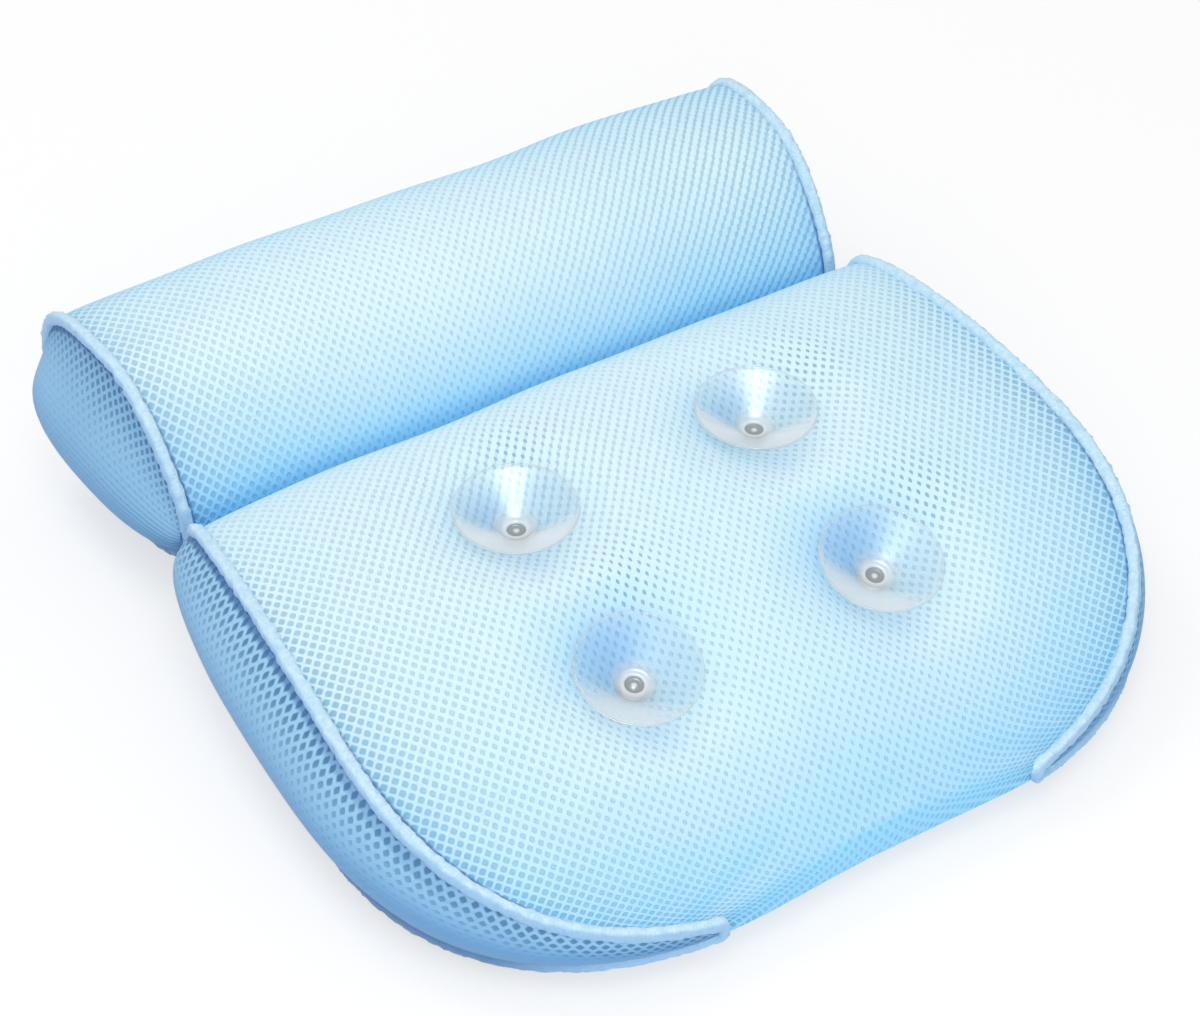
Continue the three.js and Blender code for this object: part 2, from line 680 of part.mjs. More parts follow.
// Head roll
const rollCover = coverBody(roll, rollRuns, rollRuns, rollColumns, noDimple);
add(pillow, "roll_cover", rollCover, BLUE, CLOTH_ROUGHNESS);
const rollFilling = fillingBody(roll, rollRuns, rollRuns, rollColumns, noDimple);
add(pillow, "roll_filling", rollFilling, FIBRE_WHITE, FIBRE_ROUGHNESS);

for (const [word, side] of [["left", -1], ["right", 1]]) {
  add(pillow, `pad_side_${word}`, sideBody(pad, padSideRuns, side), SIDE_BLUE, CLOTH_ROUGHNESS);
  add(pillow, `pad_binding_${word}`, bindingBody(pad, padSideRuns, side), TAPE_BLUE, TAPE_ROUGHNESS);
  add(pillow, `roll_end_${word}`, sideBody(roll, rollRuns, side), SIDE_BLUE, CLOTH_ROUGHNESS);
  add(pillow, `roll_binding_${word}`, bindingBody(roll, rollRuns, side), TAPE_BLUE, TAPE_ROUGHNESS);
}

// The join between pad and roll, on the hinge axis
const hingeHalf = Math.min(pad.halfWidth(0), roll.halfWidth(0)) - EDGE_GAP;
const hingeLength = 2 * hingeHalf;
const hingeSeam = new THREE.CylinderGeometry(HINGE_SEAM_RADIUS, HINGE_SEAM_RADIUS, hingeLength, ROUND_SIDES);
const join = add(pillow, "hinge_seam", hingeSeam, BLUE, TAPE_ROUGHNESS);
join.rotation.z = Math.PI / 2;
join.position.z = HINGE_HEIGHT;

// Origin under the middle of the whole pillow
const box = new THREE.Box3().setFromObject(pillow);
pillow.position.set(0, -(box.min.y + box.max.y) / 2, -box.min.z);

export default pillow;
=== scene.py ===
# The looks of the bath pillow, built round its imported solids: cushions of spacer mesh shaped by a
# cloth simulation, rolled edge tape, the sewn hinge and the clear suction cups.
# Sizes are in millimetres, in the part's own frame, and become metres when a mesh is made. The lamps
# and the camera are placed in metres.

import json
import math

import bpy
import numpy as np
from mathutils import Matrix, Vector


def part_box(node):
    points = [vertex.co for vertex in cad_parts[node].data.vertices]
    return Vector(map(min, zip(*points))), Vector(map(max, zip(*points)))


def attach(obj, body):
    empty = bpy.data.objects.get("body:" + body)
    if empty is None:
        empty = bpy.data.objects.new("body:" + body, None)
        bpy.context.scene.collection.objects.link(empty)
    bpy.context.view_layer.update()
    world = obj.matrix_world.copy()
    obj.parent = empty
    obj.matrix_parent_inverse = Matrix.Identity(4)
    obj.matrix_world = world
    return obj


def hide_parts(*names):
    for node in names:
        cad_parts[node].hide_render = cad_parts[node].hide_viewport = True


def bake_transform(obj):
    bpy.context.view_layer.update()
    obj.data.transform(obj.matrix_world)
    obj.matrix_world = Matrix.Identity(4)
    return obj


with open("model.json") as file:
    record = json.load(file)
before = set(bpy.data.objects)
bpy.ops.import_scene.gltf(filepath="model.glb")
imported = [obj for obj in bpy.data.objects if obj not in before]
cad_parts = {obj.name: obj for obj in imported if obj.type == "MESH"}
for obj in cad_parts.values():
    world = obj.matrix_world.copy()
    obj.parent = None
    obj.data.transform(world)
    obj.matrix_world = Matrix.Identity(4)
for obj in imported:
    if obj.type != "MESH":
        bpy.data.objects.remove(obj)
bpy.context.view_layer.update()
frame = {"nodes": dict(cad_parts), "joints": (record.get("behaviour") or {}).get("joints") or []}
joints = {joint["name"]: joint for joint in frame["joints"]}

MM = 0.001
HINGE = np.array(joints["roll_fold"]["pos_m"]) / MM
SIDES = {-1: "left", 1: "right"}

# Cloth and sewing
SHEET = 4.0  # thickness of the solids' cloth
SHELL = 2.4  # thickness of the cloth that shows at a panel's edges
HINGE_SEAM_RADIUS = 3.4
CLEARANCE = 0.3
HINGE_START = HINGE_SEAM_RADIUS + CLEARANCE + SHEET / 2  # from the hinge axis to a cushion's start

# Back pad. A run is a distance from a cushion's start, away from the hinge.
PAD_LENGTH = 255.0
PAD_HALF_WIDTH = 165.0
PAD_HINGE_HALF_WIDTH = 159.0
PAD_SIDE_LENGTH = 115.0  # the run at which its front corners begin
PAD_TIP_HALF_WIDTH = 71.0
PAD_SEAM_LOW = 7.0
PAD_SKIRT = 5.0  # how far the lower seam stands out past the upper one
PAD_SEAM_CREST = 65.0
PAD_CREST_RUN = 55.0
PAD_TIP_HEIGHT = 10.0
PAD_CROWN = 6.0
PAD_FRONT_CROWN = -1.5
PAD_BELLY = 9.5
PAD_SIDE_BULGE = 13.0
PAD_HINGE_BLUNTNESS = 4.0
PAD_TIP_BLUNTNESS = 8.0
PAD_CORNER_BLUNTNESS = 3.0

# Head roll
ROLL_DEPTH = 108.0
ROLL_HALF_HEIGHT = 40.5
ROLL_SEAM_LOW = 9.0
ROLL_HALF_LENGTH = 160.0
ROLL_FLARE = 4.0
ROLL_NOSE_PINCH = 0.5  # share of its height that it loses towards the hinge
ROLL_CROWN = 1.5
ROLL_BELLY = 13.0
ROLL_END_BULGE = 18.0
ROLL_BLUNTNESS = 3.0

# Both cushions
CROWN_BLUNTNESS = 3.0
FRONT_BLUNTNESS = 6.0
SEAM_BLUNTNESS = 8.0
LEAST_BULGE = 0.4  # of the half height of a panel

# How the filling has settled
PAD_LEAN = 3.5  # how far the pad's underside lies to the left of its top
LEAN_RUN = 60.0  # the run over which the lean grows
PAD_SWAY = 4.5  # how far the pad's front lies to the left of its hinge
PAD_SPREAD = (0.012, 0.032)  # share by which the filling widens the pad's left and right half
SPREAD_POWER = 1.6  # above 1, the pad spreads most past its middle
PAD_LIFT = 4.0  # how far the pad's front edge is lifted
LIFT_POWER = 4
CUP_GRIP = 36.0  # cloth this near to a cup stays with it, and at twice the distance it is free
ROLL_TAPER = 0.03  # share by which the roll is taller at its left end, and lower at its right one

# Slow swells of the filling: their height, the waves' lengths over two pi, and the angles they start at
SWELL = 0.7
WIDE_WAVE = 23.0
FINE_WAVE = 14.0
FINE_SHARE = 0.7
SLANT_WAVE = 40.0
LONG_WAVE = 27.0
WIDE_START = 0.6
FINE_START = 2.1
LONG_START = 0.4

# Suction cups and the dimples that they draw into the pad
CUPS = (1, 2, 3, 4)
CUP_PITCH_X = 112.0
CUP_RUNS = (76.0, 162.0)
DIMPLE_DEPTH = 19.0
DIMPLE_RADIUS = 46.0
DIMPLE_POWER = 1.3
CUP_RADIUS = 25.0
CUP_HEIGHT = 14.0
CUP_RIM = 0.9
CUP_WALL = 1.3
CUP_SAG = 0.4  # the wall's slight hollow
CUP_SIDES = 96
LIP_WIDTH = 1.0  # from the lip's round to where the inside begins
HUB_RADIUS = 8.0
HUB_DEPTH = 11.6  # from the rim down to the hub's top
NECK_RADIUS = 4.0
NECK_FLARE = 0.6  # the neck's round into the cup, outwards
NECK_DROP = 0.3  # and downwards
HEAD_RADIUS = 7.0
HEAD_HEIGHT = 5.0
HEAD_ROUND = 2.4
HEAD_EDGE = 0.5
CORE_RADIUS = 3.7
CORE_ROUND = 0.8
RECESS_DEPTH = 1.4
RECESS = ((1.0, 0.4), (0.8, 0.0), (0.4, 0.3))  # share of the core's radius, height over the floor
SPOT = ((0.2, 0.5), (0.0, 0.6))  # the same for the dot in the middle of the recess, which keeps the white as a painted highlight
WHITE_RADIUS = 4.4  # of the whitish middle, which fades out from here
HALO_RADIUS = 12.0
HALO_POWER = 1.5
MILKY = 0.75
HOLE_RING = ((-1, -1), (-1, 0), (-1, 1), (0, 1), (1, 1), (1, 0), (1, -1), (0, -1))  # in grid steps
HOLE_GAP = 1.8  # round the neck
HOLE_SINK = 0.8
PIN_RADIUS = 10.0  # cloth that a cup's hub holds

CUP_PLACES = []  # a point on each cup's axis, and the axis
for k in CUPS:
    turn = joints[f"cup_turn_{k}"]
    CUP_PLACES.append((np.array(turn["pos_m"]) / MM, np.array(turn["axis"])))

# Mesh spacing
CLOTH_STEP = 4.2
PANEL_STEPS = 12
TAPE_STEP = 1.6
TAPE_SIDES = 14
WEB_ROWS = 25
WEB_COLUMNS = 120
DENSE = 1200  # samples of a seam before it is divided evenly
SLOPE_STEPS = 500  # to a cushion's length, where its side's slope is measured
ACROSS_FIRST = ((0, 0), (0, 1), (1, 1), (1, 0))  # a face's corners in a grid, by row and column
ALONG_FIRST = ((0, 0), (1, 0), (1, 1), (0, 1))

# Cloth simulation
FRAMES = 20
MOST_SWELL = 3.0  # how far a point may move
CLOTH = {
    "quality": 6,
    "mass": 0.3,
    "tension_stiffness": 15,
    "compression_stiffness": 15,
    "shear_stiffness": 5,
    "bending_stiffness": 0.5,
    "use_pressure": True,
    "uniform_pressure_force": 4.0,
}

# Edge tape
TAPE_RADIUS = 2.7
TAPE_WRAP = 3.2  # the radius that its nap is laid out on
TAPE_WAVES = ((0.04, 37), (0.03, 83), (0.02, 151))  # share of the radius, waves along the tape
TAPE_RAISE = 0.2
TAPE_TUCK = 1.0  # how far it is drawn in on the underside
TAPE_NAP = 0.2  # unevenness of its brushed surface
TAPE_FADE = 60.0  # the last run of a cushion, where the painted shade on the tape's underside gets lighter
TAPE_LEAST_SHADE = 0.15

# Sewn web of the hinge
WEB_HALF = 1.0  # half its thickness
RIDGE_INSET = 0.2  # how far the ridge stays inside the solid's seam
RIDGE_WIDTH = 2.2
WEB_OPENING = -0.3
WEB_DEPTH = 0.1

# Weave of the spacer mesh, and the light and shade painted into its colour. Noise scales are in waves per
# metre.
WEAVE = (4.6, 5.6)  # pitch of the staggered holes across and along the sleeve
SLIT = (0.6, 1.05)  # half width of a hole: when it is closed, and what opening it adds
SLIT_LENGTH = (1.2, 0.5)  # the same for its half length, along the sleeve
LEAST_SLIT = 0.2
HOLE_EDGE = (0.5, 1.9)  # where a hole's dark middle ends, and where the thread is clear of it
DRIFT = 0.9  # how far the knit wanders
DRIFT_SCALE = 90.0
PATCHINESS = 0.5  # how unevenly the holes open
PATCH_SCALE = 55.0
ROW_EDGE = (0.04, 0.24)  # from the middle of a drawn row's line to its edge, in pitches
ROW_DARK = 0.55
FOLD_REACH = 7.0  # how far the painted shade of the fold along a seam reaches
SHADE_SHARE = 0.85
# darkness of the painted shadow line along a seam, where the tape stands proud of the cloth
SEAM_SHARE = 0.8
NEAR_LIGHT = Vector((-0.06, 0.03, 0.42))  # the place, in metres, of a near light: cloth is painted paler where it faces it and bluer, as shade, where it turns away
LIGHT_SCALE = 16.0
LIGHT_UNEVEN = 0.2

# How the weave of the sleeves shows, and how strong their painted shade is. Each pair of runs, or of
# places along X, bounds a change.
SEAM_PULL = 40.0  # how far from a seam its holes are pulled open
SEAM_DARK = 14.0  # how far from a seam its holes look deep
PAD_PULL_RUNS = (-63.0, 117.0)
PAD_DARK_RUNS = (-40.0, 120.0)
# The tuck shade is how strongly the folds along a seam are painted in shade, with the painted shadow line
# beside the tape
PAD_TUCK_RUNS = (100.0, 170.0)
PAD_LEAST_TUCK = 0.1
PAD_HOLES = 0.28  # how dark the holes are
PAD_DARKER = 0.5  # what a seam or a cup adds
PAD_PALER = 0.22  # what the hinge takes off
PAD_PALE_RUN = 32.0
PAD_FRONT_RUNS = (195.0, 250.0)  # where the front turns down into shade
PAD_FRONT_SHADE = 0.35
PAD_ROWS = -0.5  # rows drawn in one patch of the pad, slanted the other way than the roll's
PAD_ROWS_PLACE = (-50.0, 10.0)
PAD_ROWS_REACH = (70.0, 45.0)
ROLL_ROWS = 0.8
ROLL_ROWS_X = (-32.0, 128.0)
ROLL_ROWS_SHUT = 0.7  # drawn rows close the holes
ROLL_ROWS_PALER = 0.5
ROLL_TUCK_RUNS = (49.5, 4.5)
ROLL_LEAST_TUCK = 0.12
ROLL_HOLES = 0.24
ROLL_DARKER = 0.35
ROLL_TUCK_DARKER = 0.15

# How the weave of the panels shows, and how strong their painted shade is, by shares of their height,
# from -1 to 1, and of their length
PANEL_OPEN_RISE = 1.9
PANEL_SHUT = 0.6
PANEL_FAR_SHUT = 1.1
PANEL_FAR = 0.5
PANEL_OPENING = (-0.5, 0.7)
PANEL_HOLES = (0.14, 0.84)
PANEL_DARKER = 0.7
PANEL_PLEATS = 0.3
PANEL_HINGE_PLEATS = 1.6
PANEL_PLEAT_RUN = 26.0
PANEL_PLEATS_LOW = 0.5  # pleats grow down from this share of the height
PANEL_LEAST_PLEATS = 0.2
# the same painted fold shade on the panels, strongest at the top
PANEL_TUCK = 0.6
PANEL_LEAST_TUCK = 0.3
PAD_PANEL_TUCK = (14 / 15, 4 / 15)
PAD_PANEL_SWING = (0.45, 0.75)  # where the pad's holes turn to lie along the panel
LEAST_HALF = 1.0  # millimetres of a panel's half height

# What the cups do to the weave round them, and the shade and shadows painted round them
STRETCH = 0.85
STRETCH_AWAY = np.array([18.0, 32.0, 0.0])  # from a left cup to where it pulls the mesh open
STRETCH_ASIDE = np.array([34.0, 16.0, 0.0])  # the same from a right cup
STRETCH_RADIUS = 17.0
SHADED_SIDES = np.array([[-0.24, 0.32], [-0.18, 0.68]])  # by the hinge, in front; longer is darker
SHADE_RADIUS = 14.0
CAST_SHADOW = np.array([-6.0, -27.0])
CAST_RADIUS = 10.0
CAST_DEPTH = 0.25

# Floor, light and camera
FLOOR_HALF = 4000.0
FLOOR_HEIGHT = -0.3
FLOOR_GLOW = 0.6
AMBIENT = 0.72
LAMPS = {
    "top_light": {"place": (-0.2, -0.33, 1.45), "size": 0.7, "power": 2.9},
    "key_light": {"place": (-0.25, 0.75, 1.2), "size": 0.5, "power": 2.2},
    "fill_light": {"place": (-0.5, -1.0, 0.9), "size": 1.0, "power": 4.4},
    "gleam_light": {"place": (-0.17, -0.44, 1.45), "size": 0.8, "power": 25.0, "gleam": True},
}
CAMERA_LENS = 90.0
CAMERA_AZIMUTH = math.radians(-32.17)
CAMERA_ELEVATION = math.radians(42.58)
CAMERA_DISTANCE = 1.276
CAMERA_TARGET = Vector((0.0185, 0.0491, -0.0106))


# Shapes of the two cushions


def ramped(values, start, stop):
    """Rises evenly from 0 at start to 1 at stop, and is level outside them."""
    return np.clip((values - start) / (stop - start), 0, 1)


def near(distance, reach):
    """Falls off smoothly from 1 where the distance is nought."""
    return np.exp(-((distance / reach) ** 2))


def unit(vectors):
    return vectors / np.linalg.norm(vectors, axis=-1, keepdims=True)


def rounded_ends(share, hinge_power, far_power):
    """Height share of a section that rounds off at both ends."""
    power = np.where(share < 0.5, hinge_power, far_power)
    return np.maximum(0, 1 - np.abs(2 * share - 1) ** power) ** (1 / power)


def corner_share(share):
    return (1 - np.clip(share, 0, 1) ** PAD_CORNER_BLUNTNESS) ** (1 / PAD_CORNER_BLUNTNESS)


def uneven_filling(x, run):
    """Slow swells of a cushion that fibre filling never fills quite evenly."""
    wide = np.sin(x / WIDE_WAVE + WIDE_START)
    fine = FINE_SHARE * np.sin(x / FINE_WAVE + run / SLANT_WAVE + FINE_START)
    return SWELL * (wide + fine) * np.sin(run / LONG_WAVE + LONG_START)


def cup_distance(coords):
    return np.min([np.linalg.norm(coords - centre, axis=1) for centre, _ in CUP_PLACES], axis=0)


def runs_of(cushion, points):
    return np.clip(np.abs(points[:, 1] - HINGE[1]) - HINGE_START, 0, cushion.length)


class Pad:
    body = "pad"
    panels = "side"
    heading = -1  # the way along Y that it lies from the hinge
    length = PAD_LENGTH
    bulge = PAD_SIDE_BULGE
    fullness = {-1: 1.25, 1: 0.8}  # the left panel is filled fuller than the right one
    belly_power = 0.85  # below 1, a panel bulges most above its middle
    bulge_power = 1.0
    corner_length = (PAD_LENGTH - PAD_SIDE_LENGTH) / corner_share(PAD_TIP_HALF_WIDTH / PAD_HALF_WIDTH)

    def half_width(self, run):
        taper = PAD_HALF_WIDTH - PAD_HINGE_HALF_WIDTH
        side = PAD_HALF_WIDTH - taper * (1 - run / PAD_SIDE_LENGTH) ** 2
        corner = PAD_HALF_WIDTH * corner_share((run - PAD_SIDE_LENGTH) / self.corner_length)
        return np.where(run < PAD_SIDE_LENGTH, side, corner)

    def skirt(self, run):
        return PAD_SKIRT * np.sqrt(np.abs(np.sin(math.pi * run / PAD_LENGTH)))

    def heights(self, run):
        """The middle and the half height between the two seams."""
        tip = PAD_SEAM_LOW + PAD_TIP_HEIGHT
        crest = tip + (PAD_SEAM_CREST - tip) * (1 - ramped(run, PAD_CREST_RUN, PAD_LENGTH) ** 2)
        share = rounded_ends(run / PAD_LENGTH, PAD_HINGE_BLUNTNESS, PAD_TIP_BLUNTNESS)
        return (crest + PAD_SEAM_LOW) / 2, share * (crest - PAD_SEAM_LOW) / 2

    def crown(self, run, upper):
        away = np.sin(math.pi / 2 * ramped(run, 0, PAD_CREST_RUN))
        front = (run / PAD_LENGTH) ** FRONT_BLUNTNESS
        middle = PAD_CROWN if upper else PAD_BELLY
        return away * (middle + (PAD_FRONT_CROWN - middle) * front)

    def dimple(self, x, run):
        depth = 0 * x
        for cup_run in CUP_RUNS:
            for side in SIDES:
                distance = np.hypot(x - side * CUP_PITCH_X / 2, run - cup_run)
                depth += DIMPLE_DEPTH * np.clip(1 - distance / DIMPLE_RADIUS, 0, 1) ** DIMPLE_POWER
        return depth

    def settled(self, coords):
        """Points as the filling has settled: the pad leans, sways a little to the left, spreads and
        lifts its front edge. The cups hold back the sway and the lift round them."""
        x, y, z = coords.T
        share = ramped(HINGE[1] - HINGE_START - y, 0, PAD_LENGTH)
        low = ramped(z, PAD_SEAM_CREST, 0) * ramped(share * PAD_LENGTH, 0, LEAN_RUN)
        aside = np.where(x < 0, *PAD_SPREAD) * (x / PAD_HALF_WIDTH) ** 2
        spread = 1 + aside * np.sin(math.pi * share**SPREAD_POWER) ** 2
        free = ramped(cup_distance(coords), CUP_GRIP, 2 * CUP_GRIP)
        moved = coords.copy()
        moved[:, 0] = x * spread - PAD_LEAN * low - PAD_SWAY * free * share**2
        moved[:, 2] = z + PAD_LIFT * free * share**LIFT_POWER
        return moved

    def weave(self, points, edge):
        """What the material reads at the sleeve's points."""
        x, y, _ = points.T
        run = runs_of(self, points)
        by_seam = np.exp(-edge / SEAM_DARK) * ramped(run, *PAD_DARK_RUNS)
        darker = np.maximum(by_seam, STRETCH * stretch_by_cups(points))
        front = PAD_FRONT_SHADE * ramped(run, *PAD_FRONT_RUNS)
        across = near(x - PAD_ROWS_PLACE[0], PAD_ROWS_REACH[0])
        along = near(y - PAD_ROWS_PLACE[1], PAD_ROWS_REACH[1])
        return {
            "shade": np.maximum(shade_of_cups(points), front),
            "drawn": PAD_ROWS * across * along,
            "opening": np.exp(-edge / SEAM_PULL) * ramped(run, *PAD_PULL_RUNS),
            "depth": PAD_HOLES + PAD_DARKER * darker - PAD_PALER * near(run, PAD_PALE_RUN),
            "tuck_shade": np.maximum(ramped(run, *PAD_TUCK_RUNS), PAD_LEAST_TUCK),
        }


class Roll:
    body = "roll"
    panels = "end"
    heading = 1
    length = ROLL_DEPTH
    bulge = ROLL_END_BULGE
    fullness = {-1: 1.0, 1: 0.8}
    belly_power = 1.5  # above 1, an end panel bulges most below its middle
    bulge_power = 0.8

    def half_width(self, run):
        return ROLL_HALF_LENGTH + ROLL_FLARE * (2 * run / ROLL_DEPTH - 1)

    def skirt(self, run):
        return 0 * run

    def heights(self, run):
        nose = (1 - ramped(run, 0, ROLL_DEPTH / 2)) ** 2
        centre = ROLL_SEAM_LOW + ROLL_HALF_HEIGHT
        share = rounded_ends(run / ROLL_DEPTH, ROLL_BLUNTNESS, ROLL_BLUNTNESS)
        half = ROLL_HALF_HEIGHT * (1 - ROLL_NOSE_PINCH * nose) * share
        return centre + (HINGE[2] - centre) * nose, half

    def crown(self, run, upper):
        away = np.sin(math.pi / 2 * ramped(run, 0, ROLL_DEPTH / 2))
        under = 0 if upper else np.sin(math.pi * run / ROLL_DEPTH)
        return away * (ROLL_CROWN + (ROLL_BELLY - ROLL_CROWN) * under)

    def dimple(self, x, run):
        return 0 * x

    def settled(self, coords):
        """Points as the filling has settled: taller at the left end."""
        moved = coords.copy()
        moved[:, 2] *= 1 - ROLL_TAPER * coords[:, 0] / ROLL_HALF_LENGTH
        return moved

    def weave(self, points, edge):
        drawn = ROLL_ROWS * ramped(points[:, 0], *ROLL_ROWS_X)
        tuck_shade = np.maximum(ramped(runs_of(self, points), *ROLL_TUCK_RUNS), ROLL_LEAST_TUCK)
        by_seam = np.exp(-edge / SEAM_DARK) * (1 - ROLL_ROWS_PALER * drawn)
        return {
            "drawn": drawn,
            "opening": np.exp(-edge / SEAM_PULL) * (1 - ROLL_ROWS_SHUT * drawn),
            "depth": ROLL_HOLES + (ROLL_DARKER + ROLL_TUCK_DARKER * tuck_shade) * by_seam,
            "tuck_shade": tuck_shade,
        }


# Seams


def running_length(points, axis):
    """Lengths along lines of points, from the first point of each line."""
    steps = np.linalg.norm(np.diff(points, axis=axis), axis=-1)
    return np.insert(np.cumsum(steps, axis=axis), 0, 0, axis=axis)


def seam_points(cushion, run, upper):
    """Points of the +X seam at the given runs."""
    middle, half = cushion.heights(run)
    x = cushion.half_width(run) + (0 if upper else cushion.skirt(run))
    y = HINGE[1] + cushion.heading * (HINGE_START + run)
    return np.column_stack([x, y, middle + half if upper else middle - half])


def even_branch(cushion, upper, count):
    """Runs and points that divide the upper or the lower seam into equal lengths."""
    dense = cushion.length * (1 - np.cos(np.linspace(0, math.pi, DENSE))) / 2
    points = seam_points(cushion, dense, upper)
    along = running_length(points, 0)
    places = np.linspace(0, along[-1], count + 1)
    even = [np.interp(places, along, column) for column in points.T]
    return np.interp(places, along, dense), np.column_stack(even)


def seam_loop(cushion, step):
    """The closed seam of the +X side: along the top from the hinge, and back below in as many steps."""
    dense = cushion.length * np.linspace(0, 1, DENSE)
    length = running_length(seam_points(cushion, dense, True), 0)[-1]
    count = round(length / step)
    top_runs, top = even_branch(cushion, True, count)
    low_runs, low = even_branch(cushion, False, count)
    points = np.concatenate([top, low[-2:0:-1]])
    along = np.roll(points, -1, axis=0) - np.roll(points, 1, axis=0)
    level = np.zeros(len(points))
    return {
        "count": count,
        "runs": np.concatenate([top_runs, low_runs[-2:0:-1]]),
        "points": points,
        "upper": np.arange(2 * count) <= count,
        "along": unit(along),
        "out": cushion.heading * unit(np.column_stack([level, -along[:, 2], along[:, 1]])),
    }


def side_normals(cushion, runs):
    """Level directions out of the +X side panel."""
    step = cushion.length / SLOPE_STEPS
    ahead = np.minimum(runs + step, cushion.length)
    behind = np.maximum(runs - step, 0)
    slope = (cushion.half_width(ahead) - cushion.half_width(behind)) / (ahead - behind)
    return unit(np.column_stack([np.ones_like(runs), -cushion.heading * slope, 0 * runs]))


def side_bulge(cushion, runs):
    tallest = cushion.heights(np.linspace(0, cushion.length, DENSE))[1].max()
    half = cushion.heights(runs)[1]
    return np.maximum(cushion.bulge * (half / tallest) ** cushion.bulge_power, LEAST_BULGE * half)


# Meshes


def new_object(name, coords, faces, corner_uvs=None):
    """A smooth mesh object from millimetre points, with one UV pair for each face corner."""
    mesh = bpy.data.meshes.new(name)
    mesh.from_pydata([tuple(point) for point in np.asarray(coords) * MM], [], faces)
    if corner_uvs is not None:
        layer = mesh.uv_layers.new(name="weave")
        numbers = [number for face in corner_uvs for corner in face for number in corner]
        layer.data.foreach_set("uv", numbers)
    mesh.polygons.foreach_set("use_smooth", [True] * len(mesh.polygons))
    mesh.update()
    piece = bpy.data.objects.new(name, mesh)
    bpy.context.scene.collection.objects.link(piece)
    return piece


def point_grid(rows, columns, closes):
    """Numbers of points laid row by row, with the first row or column again where the grid closes."""
    numbers = np.arange(rows * columns).reshape(rows, columns)
    return np.pad(numbers, ((0, closes[0]), (0, closes[1])), "wrap")


def grid_faces(grid, fabric, corners, flip):
    """Faces over a grid of point numbers, without repeated points, and their UVs on the fabric."""
    order = -1 if flip else 1
    faces, uvs = [], []
    for i in range(len(grid) - 1):
        for k in range(len(grid[0]) - 1):
            ring = {}
            for a, b in corners:
                ring.setdefault(int(grid[i + a][k + b]), fabric[i + a][k + b])
            faces.append(list(ring)[::order])
            uvs.append(list(ring.values())[::order])
    return faces, uvs


def submesh(name, coords, panel):
    """The panel as an object of its own, and the places of its points among all points."""
    faces, uvs = panel
    used = sorted({v for face in faces for v in face})
    place = {v: i for i, v in enumerate(used)}
    own_faces = [[place[v] for v in face] for face in faces]
    return new_object(name, coords[used], own_faces, uvs), used


def points_of(piece):
    coords = np.empty(3 * len(piece.data.vertices), np.float32)
    piece.data.vertices.foreach_get("co", coords)
    return coords.reshape(-1, 3) / MM


def add_attributes(piece, looks):
    """Numbers for each point, which the materials read by their names."""
    for name, values in looks.items():
        layer = piece.data.attributes.new(name, "FLOAT", "POINT")
        layer.data.foreach_set("value", np.asarray(values, np.float32))


